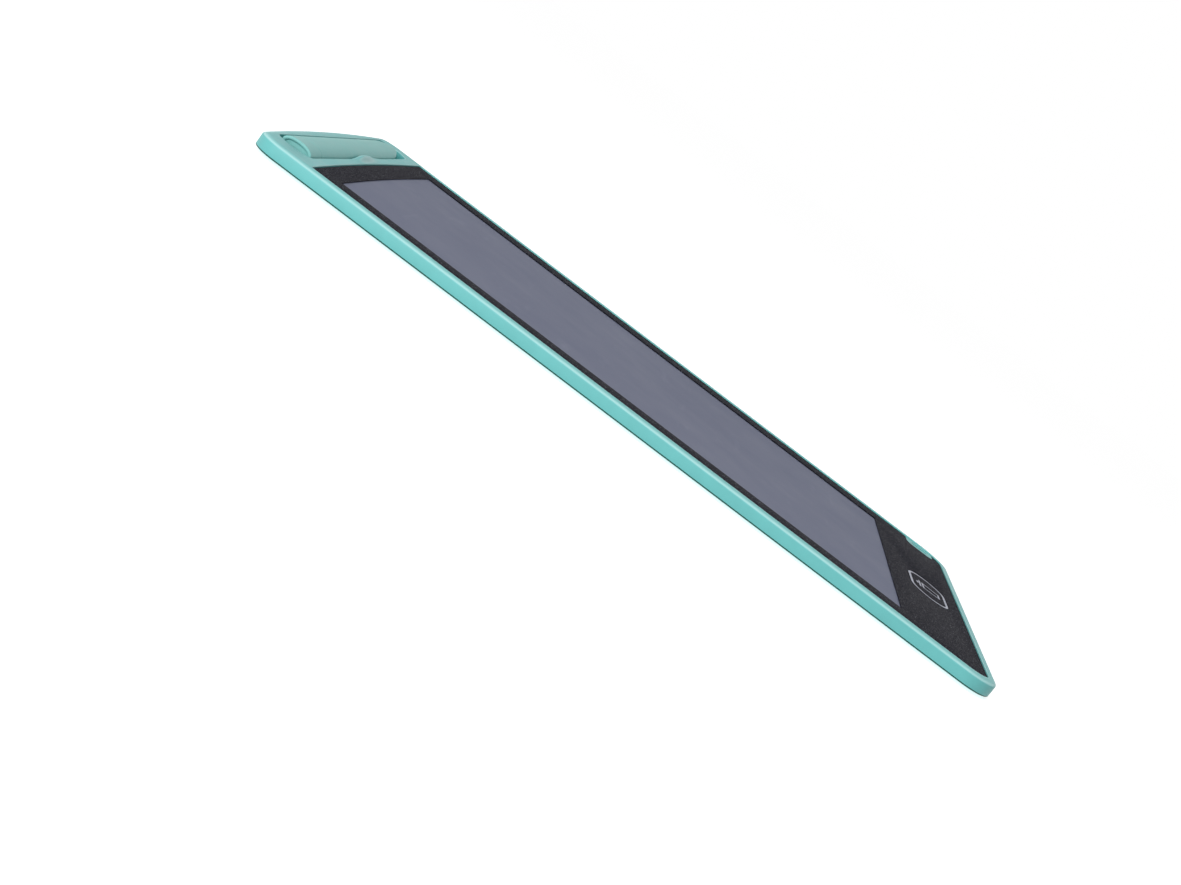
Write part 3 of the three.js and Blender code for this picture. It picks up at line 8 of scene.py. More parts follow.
import bmesh
import bpy
import numpy as np
from bpy.types import Material, Mesh, Node, NodeSocket, NodeTree, Object, Scene
from mathutils import Matrix, Vector

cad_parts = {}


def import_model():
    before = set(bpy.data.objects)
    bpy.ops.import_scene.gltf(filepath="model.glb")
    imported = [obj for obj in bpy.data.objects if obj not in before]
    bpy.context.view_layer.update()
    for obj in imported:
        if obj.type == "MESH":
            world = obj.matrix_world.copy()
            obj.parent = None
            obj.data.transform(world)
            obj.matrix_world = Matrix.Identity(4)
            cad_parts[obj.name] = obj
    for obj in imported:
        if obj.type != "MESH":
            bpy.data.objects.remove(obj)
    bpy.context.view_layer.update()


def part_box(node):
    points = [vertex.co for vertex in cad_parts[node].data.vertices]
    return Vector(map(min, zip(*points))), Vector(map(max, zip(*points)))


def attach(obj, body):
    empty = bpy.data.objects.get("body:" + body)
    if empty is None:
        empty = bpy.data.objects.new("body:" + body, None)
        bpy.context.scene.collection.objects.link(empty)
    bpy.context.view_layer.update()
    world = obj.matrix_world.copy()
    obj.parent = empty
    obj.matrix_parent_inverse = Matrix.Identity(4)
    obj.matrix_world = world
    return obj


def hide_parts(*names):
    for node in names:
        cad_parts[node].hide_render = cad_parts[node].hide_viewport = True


LOG = logging.getLogger("tablet")
MM = 0.001
CORNER_STEPS = 20
BOW_STEPS = 24
SHARP_ANGLE = math.radians(32)
FLAT_ANGLE = math.radians(9)
HUMP_HEIGHT = 1.5 * MM
TRIM_GAP = 0.15 * MM
TAPE = 0.1 * MM
WINDOW_OVERLAP = 2.8 * MM
KEY_FLANGE = 1.5 * MM
SAME_HEIGHT = 1e-8
MOTTLE_LAYERS = ((1.0, 3.0), (4.3, 2.0))
MOTTLE_RANGE = (0.35, 0.65)
PEBBLE_SMOOTHNESS = 0.35
PEBBLE_TOP = (0.1, 0.75)
PEBBLE_BREAK = (0.3, 0.7)
PEBBLE_BREAK_SCALE = 0.6
PEBBLE_LOWEST = 0.4
# Painted glint: the pebble heights over which the proudest pebbles take a paler colour.
PAINTED_GLINT_RANGE = (0.6, 0.85)
STREAK_TURN = (0.0, 0.0, 0.5)
STREAK_STRETCH = (1.0, 5.0, 1.0)
STREAK_RANGE = (0.62, 0.74)


class Joinery(Enum):
    """Ways in which one solid is worked into another."""

    CUT = "DIFFERENCE"
    JOIN = "UNION"


# Outlines and surfaces


def rounded_outline(low: tuple, high: tuple, corners: tuple, steps: int = CORNER_STEPS,
                    bow: float = 0.0) -> np.ndarray:
    """Points of a rounded rectangle, anticlockwise from its lower right corner.

    Each corner is a quarter circle: centre plus radius times (cos, sin) of an angle that runs
    over 90 degrees. The upper side can be bowed: its y is the highest y less the bow times the
    square of the share of the way from its middle to its end, so both upper corners fall back.

    Args:
        low: Lowest x and y.
        high: Highest x and y.
        corners: Radii at lower right, upper right, upper left and lower left.
        steps: Intervals in each quarter circle.
        bow: How far the upper side's ends fall back from its middle.

    Returns:
        An array of points, of shape (count, 2).
    """
    turn = np.linspace(0.0, math.pi / 2, steps + 1)
    signs = ((1, -1), (1, 1), (-1, 1), (-1, -1))
    starts = (-math.pi / 2, 0.0, math.pi / 2, math.pi)
    loops = []
    for (side_x, side_y), start, radius in zip(signs, starts, corners):
        corner = np.array([high[0] if side_x > 0 else low[0], high[1] - bow if side_y > 0 else low[1]])
        centre = corner - radius * np.array([side_x, side_y])
        loops.append(centre + radius * np.stack([np.cos(start + turn), np.sin(start + turn)], axis=1))
    if bow > 0:
        across = np.linspace(1.0, -1.0, BOW_STEPS + 1)[1:-1]
        half = (high[0] - low[0]) / 2 - corners[1]
        x = (low[0] + high[0]) / 2 + across * half
        loops.insert(2, np.stack([x, high[1] - bow * across ** 2], axis=1))
    return np.concatenate(loops)


def pill_outline(centre: tuple, size: tuple, steps: int = CORNER_STEPS) -> np.ndarray:
    """Points of a pill: a rounded rectangle whose corner radius is half its shorter side.

    Args:
        centre: Middle of the pill.
        size: Its x and y extents.
        steps: Intervals in each quarter circle.

    Returns:
        An array of shape (4 * (steps + 1), 2).
    """
    radius = min(size) / 2
    low = (centre[0] - size[0] / 2, centre[1] - size[1] / 2)
    high = (centre[0] + size[0] / 2, centre[1] + size[1] / 2)
    return rounded_outline(low, high, (radius,) * 4, steps)


def raised(outline: np.ndarray, height: float) -> np.ndarray:
    """The outline's points with a height added as their third coordinate."""
    return np.column_stack([outline, np.full(len(outline), height)])


def fillet(radius: float, steps: int = 6) -> np.ndarray:
    """Offsets along a convex quarter round, as pairs of inset and drop.

    The inset is radius times (1 - cos) and the drop radius times (1 - sin) of an angle that
    runs from 0, at the side wall, to 90 degrees, at the top face.
    """
    angle = np.linspace(0.0, math.pi / 2, steps + 1)
    return np.stack([radius * (1 - np.cos(angle)), radius * (1 - np.sin(angle))], axis=1)


def skin_faces(rings: int, count: int) -> list:
    """Faces of a closed skin over rings of points, with a many-sided cap at each end.

    Quad (r, i) joins point i and i + 1 of ring r to the same points of ring r + 1.
    """
    ring, point = np.meshgrid(np.arange(rings - 1), np.arange(count), indexing="ij")
    here = ring * count + point
    beside = ring * count + (point + 1) % count
    quads = np.stack([here, beside, beside + count, here + count], axis=-1).reshape(-1, 4)
    bottom = np.arange(count)[::-1].tolist()
    top = (np.arange(count) + (rings - 1) * count).tolist()
    return quads.tolist() + [bottom, top]


def link_piece(name: str, mesh: Mesh) -> Object:
    """An object for a mesh, linked to the scene."""
    piece = bpy.data.objects.new(name, mesh)
    bpy.context.scene.collection.objects.link(piece)
    return piece


def make_piece(name: str, points: np.ndarray, faces: list) -> Object:
    """A smooth-shaded mesh object with its sharp edges marked, linked to the scene.

    Args:
        name: Name of the object and its mesh.
        points: Vertices, in metres.
        faces: Vertex numbers of each face, in turn order seen from outside.

    Returns:
        The new object, at the origin.
    """
    mesh = bpy.data.meshes.new(name)
    mesh.from_pydata(np.asarray(points, float).reshape(-1, 3).tolist(), [], faces)
    mesh.validate()
    piece = link_piece(name, mesh)
    tidy_mesh(piece)
    return piece


def tidy_mesh(piece: Object, merge: float = 1e-7, sharp: float = SHARP_ANGLE) -> None:
    """Merges doubled points, turns the faces outwards, and shades smooth up to the sharp angle."""
    work = bmesh.new()
    work.from_mesh(piece.data)
    bmesh.ops.remove_doubles(work, verts=work.verts, dist=merge)
    bmesh.ops.dissolve_degenerate(work, edges=work.edges, dist=merge)
    bmesh.ops.recalc_face_normals(work, faces=work.faces)
    work.to_mesh(piece.data)
    work.free()
    piece.data.polygons.foreach_set("use_smooth", np.ones(len(piece.data.polygons), bool))
    piece.data.set_sharp_from_angle(angle=sharp)
    piece.data.update()


def loft(name: str, rings: list) -> Object:
    """A closed solid skinned over rings that all have the same number of points."""
    stack = np.stack(rings)
    return make_piece(name, stack, skin_faces(stack.shape[0], stack.shape[1]))


def slab(name: str, outline: np.ndarray, bottom: float, top: float) -> Object:
    """A solid with one outline from its bottom to its top."""
    return loft(name, [raised(outline, z) for z in (bottom, top)])


def turned(name: str, steps: list, middle: tuple, count: int, along_x: bool = False) -> Object:
    """A turned solid: circles of the given radii at places along an axis.

    Args:
        name: Name of the piece.
        steps: Pairs of a place along the axis and the radius there.
        middle: The axis's place in the other two coordinates.
        count: Points in each circle.
        along_x: Whether the axis runs along X, not Z.

    Returns:
        The solid.
    """
    angle = np.linspace(0, 2 * math.pi, count, endpoint=False)
    rings = [np.column_stack([middle[0] + r * np.cos(angle), middle[1] + r * np.sin(angle), np.full(count, at)])
             for at, r in steps]
    return loft(name, [np.roll(ring, 1, axis=1) for ring in rings] if along_x else rings)


def plan_of(node: str) -> tuple[np.ndarray, np.ndarray]:
    """Middle and size of a CAD node's box, seen from above."""
    low, high = (np.array(corner)[:2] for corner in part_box(node))
    return (low + high) / 2, high - low


def work_in(body: Object, tool: Object, how: Joinery) -> None:
    """Cuts the tool out of the body, or joins it on, and removes the tool.

    Args:
        body: The solid that stays.
        tool: The solid that is used up.
        how: Whether it cuts or joins.
    """
    change = body.modifiers.new("work", "BOOLEAN")
    change.operation = how.value
    change.solver = "EXACT"
    change.object = tool
    view = bpy.context.evaluated_depsgraph_get()
    result = bpy.data.meshes.new_from_object(body.evaluated_get(view))
    body.modifiers.clear()
    spent = body.data
    body.data = result
    bpy.data.meshes.remove(spent)
    bpy.data.objects.remove(tool)


def copy_node(node: str, name: str) -> Object:
    """A merged copy of a CAD node's mesh, with its edges kept sharp."""
    piece = link_piece(name, bpy.data.objects[node].data.copy())
    piece.data.materials.clear()
    tidy_mesh(piece, merge=1e-6, sharp=FLAT_ANGLE)
    return piece


def place(piece: Object, body: str, finish: Material) -> None:
    """Puts a finish on a piece, lets it ride on a body, and reports it.

    Args:
        piece: The finished piece.
        body: The CAD body that it moves with.
        finish: The material that it shows.
    """
    piece.data.materials.clear()
    piece.data.materials.append(finish)
    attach(piece, body)
    LOG.info("%s: %d faces on %s", piece.name, len(piece.data.polygons), body)


def stand_for(piece: Object, node: str, body: str, finish: Material) -> None:
    """Lets a piece stand for a CAD node, and places it."""
    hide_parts(node)
    place(piece, body, finish)


# Finishes


class Nodes:
    """Adds nodes and links to one node tree."""

    def __init__(self, tree: NodeTree) -> None:
        """Keeps the tree that is worked on."""
        self.tree = tree

    def add(self, kind: str, **settings: object) -> Node:
        """A new node of a kind, with its properties set by name."""
        node = self.tree.nodes.new(kind)
        for key, value in settings.items():
            setattr(node, key, value)
        return node

    def join(self, source: NodeSocket, target: NodeSocket) -> None:
        """A link from an output to an input."""
        self.tree.links.new(source, target)

    def feed(self, target: NodeSocket, value: object) -> None:
        """Links a socket to an input, or sets the input to a number or a colour."""
        if isinstance(value, NodeSocket):
            self.join(value, target)
        else:
            target.default_value = (*value, 1.0) if isinstance(value, tuple) else value

    def maths(self, what: str, first: object, second: object) -> NodeSocket:
        """The result of a Math operation on two sockets or numbers."""
        node = self.add("ShaderNodeMath", operation=what)
        for target, value in zip(node.inputs, (first, second)):
            self.feed(target, value)
        return node.outputs[0]

    def noise(self, vector: NodeSocket, scale: NodeSocket, detail: float) -> NodeSocket:
        """A noise's value."""
        node = self.add("ShaderNodeTexNoise")
        node.inputs["Detail"].default_value = detail
        self.join(vector, node.inputs["Vector"])
        self.join(scale, node.inputs["Scale"])
        return node.outputs["Fac"]

    def seen_directly(self) -> NodeSocket:
        """1 for rays from the camera, off a reflection or through glass, and 0 for the rest."""
        path = self.add("ShaderNodeLightPath")
        seen = self.maths("MAXIMUM", path.outputs["Is Camera Ray"], path.outputs["Is Glossy Ray"])
        return self.maths("MAXIMUM", seen, path.outputs["Is Transmission Ray"])

    def span(self, value: NodeSocket, low: float, high: float, new_low: float, new_high: float) -> NodeSocket:
        """Maps a value from one range to another, clamped."""
        node = self.add("ShaderNodeMapRange")
        self.join(value, node.inputs["Value"])
        for key, number in zip(("From Min", "From Max", "To Min", "To Max"), (low, high, new_low, new_high)):
            node.inputs[key].default_value = number
        return node.outputs["Result"]

    def blend(self, share: NodeSocket, first: object, second: object) -> NodeSocket:
        """A colour between two colours or colour sockets, by a share."""
        node = self.add("ShaderNodeMix", data_type="RGBA")
        self.join(share, node.inputs["Factor"])
        self.feed(node.inputs["A"], first)
        self.feed(node.inputs["B"], second)
        return node.outputs["Result"]

    def rise(self, vector: NodeSocket) -> NodeSocket:
        """The Z part of a vector."""
        parts = self.add("ShaderNodeSeparateXYZ")
        self.join(vector, parts.inputs[0])
        return parts.outputs["Z"]


def new_group(name: str, inputs: dict, outputs: tuple) -> tuple:
    """An empty shader group with its sockets.

    Args:
        name: The group's name.
        inputs: Each input's name and its default number, or None for a vector.
        outputs: Names of the outputs, all of them numbers.

    Returns:
        The group, its node adder, the sockets that it is given and those of its result.
    """
    tree = bpy.data.node_groups.new(name, "ShaderNodeTree")
    for key, value in inputs.items():
        kind = "NodeSocketVector" if value is None else "NodeSocketFloat"
        socket = tree.interface.new_socket(key, in_out="INPUT", socket_type=kind)
        if value is not None:
            socket.default_value = value
    for key in outputs:
        tree.interface.new_socket(key, in_out="OUTPUT", socket_type="NodeSocketFloat")
    nodes = Nodes(tree)
    return tree, nodes, nodes.add("NodeGroupInput").outputs, nodes.add("NodeGroupOutput").inputs


def mottle_group() -> NodeTree:
    """Soft uneven patches: the mean of a coarse and a fine noise, from 0 to 1."""
    if "soft_mottle" in bpy.data.node_groups:
        return bpy.data.node_groups["soft_mottle"]
    tree, nodes, given, result = new_group("soft_mottle", {"Vector": None, "Scale": 60.0}, ("Value",))
    layers = [nodes.noise(given["Vector"], nodes.maths("MULTIPLY", given["Scale"], factor), detail)
              for factor, detail in MOTTLE_LAYERS]
    mean = nodes.maths("MULTIPLY", nodes.maths("ADD", *layers), 0.5)
    nodes.join(nodes.span(mean, *MOTTLE_RANGE, 0.0, 1.0), result["Value"])
    return tree


def pebble_group() -> NodeTree:
    """Pebble grain: rounded cells of a smooth Voronoi pattern, broken up by a fine noise.

    Height is 1 on a pebble's top and falls to 0 in the furrows. Glint marks the few
    pebbles that stand proudest, where a finish can paint a glint.
    """
    if "pebble_grain" in bpy.data.node_groups:
        return bpy.data.node_groups["pebble_grain"]
    tree, nodes, given, result = new_group("pebble_grain", {"Vector": None, "Scale": 2500.0}, ("Height", "Glint"))
    cells = nodes.add("ShaderNodeTexVoronoi", feature="SMOOTH_F1")
    cells.inputs["Smoothness"].default_value = PEBBLE_SMOOTHNESS
    for key in ("Vector", "Scale"):
        nodes.join(given[key], cells.inputs[key])
    noise = nodes.noise(given["Vector"], nodes.maths("MULTIPLY", given["Scale"], PEBBLE_BREAK_SCALE), 2.0)
    top = nodes.span(cells.outputs["Distance"], *PEBBLE_TOP, 1.0, 0.0)
    height = nodes.maths("MULTIPLY", top, nodes.span(noise, *PEBBLE_BREAK, PEBBLE_LOWEST, 1.0))
    nodes.join(height, result["Height"])
    nodes.join(nodes.span(height, *PAINTED_GLINT_RANGE, 0.0, 1.0), result["Glint"])
    return tree


def marks_group() -> NodeTree:
    """Traces of handling: thin streaks, where a stretched noise passes a threshold."""
    if "handling_marks" in bpy.data.node_groups:
        return bpy.data.node_groups["handling_marks"]
    tree, nodes, given, result = new_group("handling_marks", {"Vector": None, "Scale": 40.0}, ("Mask",))
    turn = nodes.add("ShaderNodeMapping")
    turn.inputs["Rotation"].default_value = STREAK_TURN
    turn.inputs["Scale"].default_value = STREAK_STRETCH
    nodes.join(given["Vector"], turn.inputs["Vector"])
    noise = nodes.noise(turn.outputs["Vector"], given["Scale"], 5.0)
    nodes.join(nodes.span(noise, *STREAK_RANGE, 0.0, 1.0), result["Mask"])
    return tree


@dataclass(frozen=True)
class Finish:
    """What every finish has: a name, a base colour in linear light, roughness and gloss."""

    name: str
    colour: tuple
    roughness: float
    gloss: float = 0.5

    def start(self) -> tuple[Material, Nodes, Node, NodeSocket]:
        """A new material with its shader, and the piece's own coordinates."""
        material = bpy.data.materials.new(self.name)
        material.use_nodes = True
        nodes = Nodes(material.node_tree)
        shader = material.node_tree.nodes["Principled BSDF"]
        shader.inputs["Base Color"].default_value = (*self.colour, 1.0)
        shader.inputs["Roughness"].default_value = self.roughness
        shader.inputs["Specular IOR Level"].default_value = self.gloss
        spot = nodes.add("ShaderNodeTexCoord").outputs["Object"]
        return material, nodes, shader, spot

    def shade(self, nodes: Nodes, spot: NodeSocket, group: NodeTree, scale: float) -> Node:
        """Places a shared group in a material.

        Args:
            nodes: The material's node adder.
            spot: Coordinates.
            group: The shared effect.
            scale: Its scale, in patches per metre.

        Returns:
            The group's node.
        """
        node = nodes.add("ShaderNodeGroup", node_tree=group)
        nodes.join(spot, node.inputs["Vector"])
        node.inputs["Scale"].default_value = scale
        return node

    def dimmed(self, share: float) -> tuple:
        """The finish's colour times a share."""
        return tuple(part * share for part in self.colour)

    def tint(self, nodes: Nodes, shader: Node, share: NodeSocket, low: tuple, high: tuple) -> None:
        """Lets the base colour run from one colour to another with a share."""
        nodes.join(nodes.blend(share, low, high), shader.inputs["Base Color"])

    def roughen(self, nodes: Nodes, shader: Node, share: NodeSocket, low: float, high: float) -> None:
        """Lets the roughness run from one number to another with a share."""
        nodes.join(nodes.span(share, 0.0, 1.0, low, high), shader.inputs["Roughness"])

    def bump(self, nodes: Nodes, shader: Node, height: NodeSocket, depth: float) -> None:
        """Feeds a height to the shader's normal.

        Args:
            nodes: The material's node adder.
            shader: The shader that gets the normal.
            height: Height from 0 to 1.
            depth: What a height of 1 means, in metres.
        """
        node = nodes.add("ShaderNodeBump")
        node.inputs["Distance"].default_value = depth
        node.inputs["Strength"].default_value = 1.0
        nodes.join(height, node.inputs["Height"])
        nodes.join(node.outputs["Normal"], shader.inputs["Normal"])


@dataclass(frozen=True)
class MouldedPlastic(Finish):
    """Satin moulded plastic, with a faint unevenness of colour, a fine spark-eroded grain, a painted highlight on
    its rounded upper edges and, where a height is given, painted shade at the wall's foot.
    """

    shade_change: float = 0.06
    rough_change: float = 0.05
    patch: float = 70.0
    grain_scale: float = 3500.0
    grain_depth: float = 0.006 * MM
    # Painted shade: a dark band at the wall's foot, up to this height, that stands in for the shadow of the seam
    # to the cover.
    seam_shade_height: float = 0.0
    seam_shade_fade: float = 0.12 * MM
    seam_shade_colour: tuple = (0.0, 0.06, 0.045)
    # Painted highlight: the pale colour, and the normal heights over which it is painted on the rounded upper
    # edges.
    edge_highlight_colour: tuple = (0.37, 0.67, 0.665)
    highlight_rise: tuple = (0.3, 0.68)
    highlight_fall: tuple = (0.8, 1.02)

    def make(self) -> Material:
        """Builds the material."""
        material, nodes, shader, spot = self.start()
        mottle = self.shade(nodes, spot, mottle_group(), self.patch).outputs["Value"]
        colour = nodes.blend(mottle, self.dimmed(1 - self.shade_change), self.colour)
        # Painted highlight on the rounded upper edges.
        colour = self.edges(nodes, colour)
        # Painted shade at the foot of the wall.
        if self.seam_shade_height > 0:
            colour = self.seam(nodes, spot, colour)
        nodes.join(colour, shader.inputs["Base Color"])
        change = self.rough_change
        self.roughen(nodes, shader, mottle, self.roughness - change, self.roughness + change)
        grain = self.shade(nodes, spot, pebble_group(), self.grain_scale)
        self.bump(nodes, shader, grain.outputs["Height"], self.grain_depth)
        return material

    def edges(self, nodes: Nodes, colour: NodeSocket) -> NodeSocket:
        """Paints a highlight on the rounded upper edges: a paler colour that stands in for the light they catch.

        The share of the highlight colour climbs and falls with the height of the surface's normal,
        so walls and flat tops keep the plastic's colour.

        Args:
            nodes: The material's node adder.
            colour: The plastic's colour.

        Returns:
            The colour with its painted edge highlight.
        """
        lean = nodes.rise(nodes.add("ShaderNodeTexCoord").outputs["Normal"])
        rising, falling = nodes.span(lean, *self.highlight_rise, 0.0, 1.0), nodes.span(lean, *self.highlight_fall, 1.0, 0.0)
        share = nodes.maths("MULTIPLY", rising, falling)
        return nodes.blend(share, colour, self.edge_highlight_colour)

    def seam(self, nodes: Nodes, spot: NodeSocket, colour: NodeSocket) -> NodeSocket:
        """Paints shade on the foot of the wall: a dark band that stands in for the shadow in the seam to the
        cover.

        Args:
            nodes: The material's node adder.
            spot: Coordinates.
            colour: The plastic's colour.

        Returns:
            The colour with its painted shade at the foot.
        """
        share = nodes.span(nodes.rise(spot), self.seam_shade_height, self.seam_shade_height + self.seam_shade_fade, 0.0, 1.0)
        return nodes.blend(share, self.seam_shade_colour, colour)


@dataclass(frozen=True)
class GrainedFilm(Finish):
    """Black film with a pebble grain whose proudest points are smoother and get a painted glint: a paler colour
    that stands in for the light they catch.
    """

    grain_scale: float = 2300.0
    grain_depth: float = 0.05 * MM
    # Painted glint: the paler colour of the proudest pebbles.
    painted_glint: tuple = (0.1, 0.1, 0.14)
    furrow_rougher: float = 0.2
    top_smoother: float = 0.25

    def make(self) -> Material:
        """Builds the material."""
        material, nodes, shader, spot = self.start()
        grain = self.shade(nodes, spot, pebble_group(), self.grain_scale)
        height = grain.outputs["Height"]
        # Painted glint on the proudest pebbles.
        self.tint(nodes, shader, grain.outputs["Glint"], self.colour, self.painted_glint)
        furrow, top = self.roughness + self.furrow_rougher, self.roughness - self.top_smoother
        self.roughen(nodes, shader, height, furrow, top)
        self.bump(nodes, shader, height, self.grain_depth)
        return material


@dataclass(frozen=True)
class WritingSurface(Finish):
    """Satin writing film, with faint streaks from wiping and writing."""

    streak: tuple = (0.17, 0.186, 0.262)
    streak_scale: float = 45.0
    patch: float = 25.0
    rough_change: float = 0.04
    grain_scale: float = 5000.0
    grain_depth: float = 0.002 * MM

    def make(self) -> Material:
        """Builds the material."""
        material, nodes, shader, spot = self.start()
        marks = self.shade(nodes, spot, marks_group(), self.streak_scale).outputs["Mask"]
        self.tint(nodes, shader, marks, self.colour, self.streak)
        mottle = self.shade(nodes, spot, mottle_group(), self.patch).outputs["Value"]
        change = self.rough_change
        self.roughen(nodes, shader, mottle, self.roughness - change, self.roughness + change)
        grain = self.shade(nodes, spot, pebble_group(), self.grain_scale)
        self.bump(nodes, shader, grain.outputs["Height"], self.grain_depth)
        return material


@dataclass(frozen=True)
class PlainFinish(Finish):
    """A finish with uneven colour and roughness, for small and inner pieces."""

    metal: float = 0.0
    patch: float = 300.0
    shade_change: float = 0.15
    rough_change: float = 0.08
    least_rough: float = 0.05
    depth: float = 0.004 * MM

    def make(self) -> Material:
        """Builds the material."""
        material, nodes, shader, spot = self.start()
        shader.inputs["Metallic"].default_value = self.metal
        mottle = self.shade(nodes, spot, mottle_group(), self.patch).outputs["Value"]
        self.tint(nodes, shader, mottle, self.dimmed(1 - self.shade_change), self.colour)
        low = max(self.roughness - self.rough_change, self.least_rough)
        self.roughen(nodes, shader, mottle, low, min(self.roughness + self.rough_change, 1.0))
        self.bump(nodes, shader, mottle, self.depth)
        return material


@dataclass(frozen=True)
class CellFoam(Finish):
    """Fine closed-cell foam: matt, with painted shade in its cell mouths and a faint fuzz of cut walls."""

    cell_scale: float = 1800.0
    cell_depth: float = 0.06 * MM
    cell_shade: float = 0.45
    fuzz: float = 0.25
    patch: float = 120.0
    rough_change: float = 0.08

    def make(self) -> Material:
        """Builds the material."""
        material, nodes, shader, spot = self.start()
        shader.inputs["Sheen Weight"].default_value = self.fuzz
        cells = self.shade(nodes, spot, pebble_group(), self.cell_scale).outputs["Height"]
        # Painted shade: the cell mouths are darker than the cell tops.
        self.tint(nodes, shader, cells, self.dimmed(self.cell_shade), self.colour)
        mottle = self.shade(nodes, spot, mottle_group(), self.patch).outputs["Value"]
        self.roughen(nodes, shader, mottle, self.roughness - self.rough_change, self.roughness)
        self.bump(nodes, shader, cells, self.cell_depth)
        return material


TURQUOISE = MouldedPlastic("turquoise_plastic", (0.145, 0.49, 0.485), 0.45, 0.27)
# The frame's plastic also gets the painted shade band at its foot.
FRAME_TURQUOISE = MouldedPlastic("frame_plastic", (0.145, 0.49, 0.485), 0.45, 0.27, seam_shade_height=1.15 * MM)
# The stylus's highlight colour is its own colour, so no painted highlight shows on it.
STYLUS_TURQUOISE = MouldedPlastic("stylus_plastic", (0.22, 0.52, 0.5), 0.5, 0.25, edge_highlight_colour=(0.22, 0.52, 0.5))
BLACK_GRAIN = GrainedFilm("black_grained_film", (0.003, 0.003, 0.008), 0.6, 0.042)
WRITING_GREY = WritingSurface("writing_film", (0.155, 0.17, 0.243), 0.55, 0.05)
PALE_INK = PlainFinish("pale_ink", (0.45, 0.47, 0.56), 0.5, 0.2, patch=900.0)
STEEL = PlainFinish("nickel_steel", (0.62, 0.62, 0.63), 0.3, 0.5, metal=1.0, patch=500.0)
FOOT_RUBBER = PlainFinish("foot_rubber", (0.03, 0.03, 0.032), 0.85, 0.3, patch=800.0)
BLACK_PLASTIC = PlainFinish("black_plastic", (0.015, 0.015, 0.017), 0.5, 0.4, patch=600.0)
SOLDER_RESIST = PlainFinish("solder_resist", (0.01, 0.14, 0.05), 0.4, 0.5, patch=400.0)
TAPE_WHITE = PlainFinish("tape_white", (0.68, 0.67, 0.62), 0.7, 0.3)
SHEET_WHITE = PlainFinish("sheet_white", (0.74, 0.74, 0.73), 0.55, 0.4)
FOAM_BLACK = CellFoam("foam_black", (0.02, 0.02, 0.022), 0.95, 0.1)
EPOXY_BLACK = PlainFinish("epoxy_black", (0.012, 0.012, 0.013), 0.6, 0.4, patch=1500.0)
CAPACITOR_TAN = PlainFinish("capacitor_tan", (0.42, 0.28, 0.15), 0.5, 0.4, patch=1500.0)
FLEX_AMBER = PlainFinish("flex_amber", (0.5, 0.2, 0.03), 0.35, 0.5, patch=900.0)


class FinishBook:
    """Makes each finish once and hands it out again."""

    def __init__(self) -> None:
        """Starts with no finish made."""
        self.made: dict[str, Material] = {}

    def get(self, finish: Finish) -> Material:
        """The finish's material, made on first use."""
        if finish.name not in self.made:
            self.made[finish.name] = finish.make()
        return self.made[finish.name]


# The tablet


@dataclass(frozen=True)
class CaseSizes:
    """Sizes that the tablet's sub-assemblies share, read from the frame where it holds them."""

    case_low: Vector
    case_high: Vector
    frame_bottom: float
    rim_top: float
    film_top: float
    film_bottom: float
    recess_low: tuple
    recess_high: tuple
    window_low: tuple
    window_high: tuple
    case_corner: float = 10 * MM
    case_corner_at_stylus: float = 7 * MM
    case_bow: float = 1.5 * MM
    film_bow: float = 1.0 * MM
    window_bow: float = 0.7 * MM
    window_corner: float = 0.3 * MM
    rim_drop: float = 1.1 * MM
    rim_reach: float = 2.2 * MM
    bottom_fillet: float = 0.3 * MM
    frame_wall: float = 1.5 * MM
    deck: float = 0.9 * MM
    recess_corner: float = 7.2 * MM
    stylus_corner: float = 1.0 * MM
    least_corner: float = 0.1 * MM
    trim_gap: float = TRIM_GAP

    @classmethod
    def from_frame(cls) -> "CaseSizes":
        """Reads the sizes from the boxes of the CAD nodes."""
        trim, overlap = TRIM_GAP, WINDOW_OVERLAP
        low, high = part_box("front_frame")
        film_low, film_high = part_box("bezel_film")
        panel_low, panel_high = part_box("lcd_front_film")
        return cls(
            case_low=low,
            case_high=high,
            frame_bottom=low.z,
            rim_top=high.z - HUMP_HEIGHT,
            film_top=film_high.z,
            film_bottom=film_low.z,
            recess_low=(film_low.x - trim, film_low.y - trim),
            recess_high=(film_high.x + trim, film_high.y + trim),
            window_low=(panel_low.x + overlap, panel_low.y + overlap),
            window_high=(panel_high.x - overlap, panel_high.y - overlap),
        )

    def case_outline(self, inset: float) -> np.ndarray:
        """The case outline drawn in by an inset."""
        low = (self.case_low.x + inset, self.case_low.y + inset)
        high = (self.case_high.x - inset, self.case_high.y - inset)
        end, top = self.case_corner - inset, self.case_corner_at_stylus - inset
        return rounded_outline(low, high, (end, top, top, end), bow=self.case_bow)

    def recess_outline(self, grow: float) -> np.ndarray:
        """The outline of the film's recess, grown outwards."""
        low = (self.recess_low[0] - grow, self.recess_low[1] - grow)
        high = (self.recess_high[0] + grow, self.recess_high[1] + grow)
        end, top = self.recess_corner + grow, max(self.stylus_corner + grow, self.least_corner)
        return rounded_outline(low, high, (end, top, top, end), bow=self.film_bow)

    def window_outline(self) -> np.ndarray:
        """The outline of the film's window."""
        corners = (self.window_corner,) * 4
        return rounded_outline(self.window_low, self.window_high, corners, 4, self.window_bow)


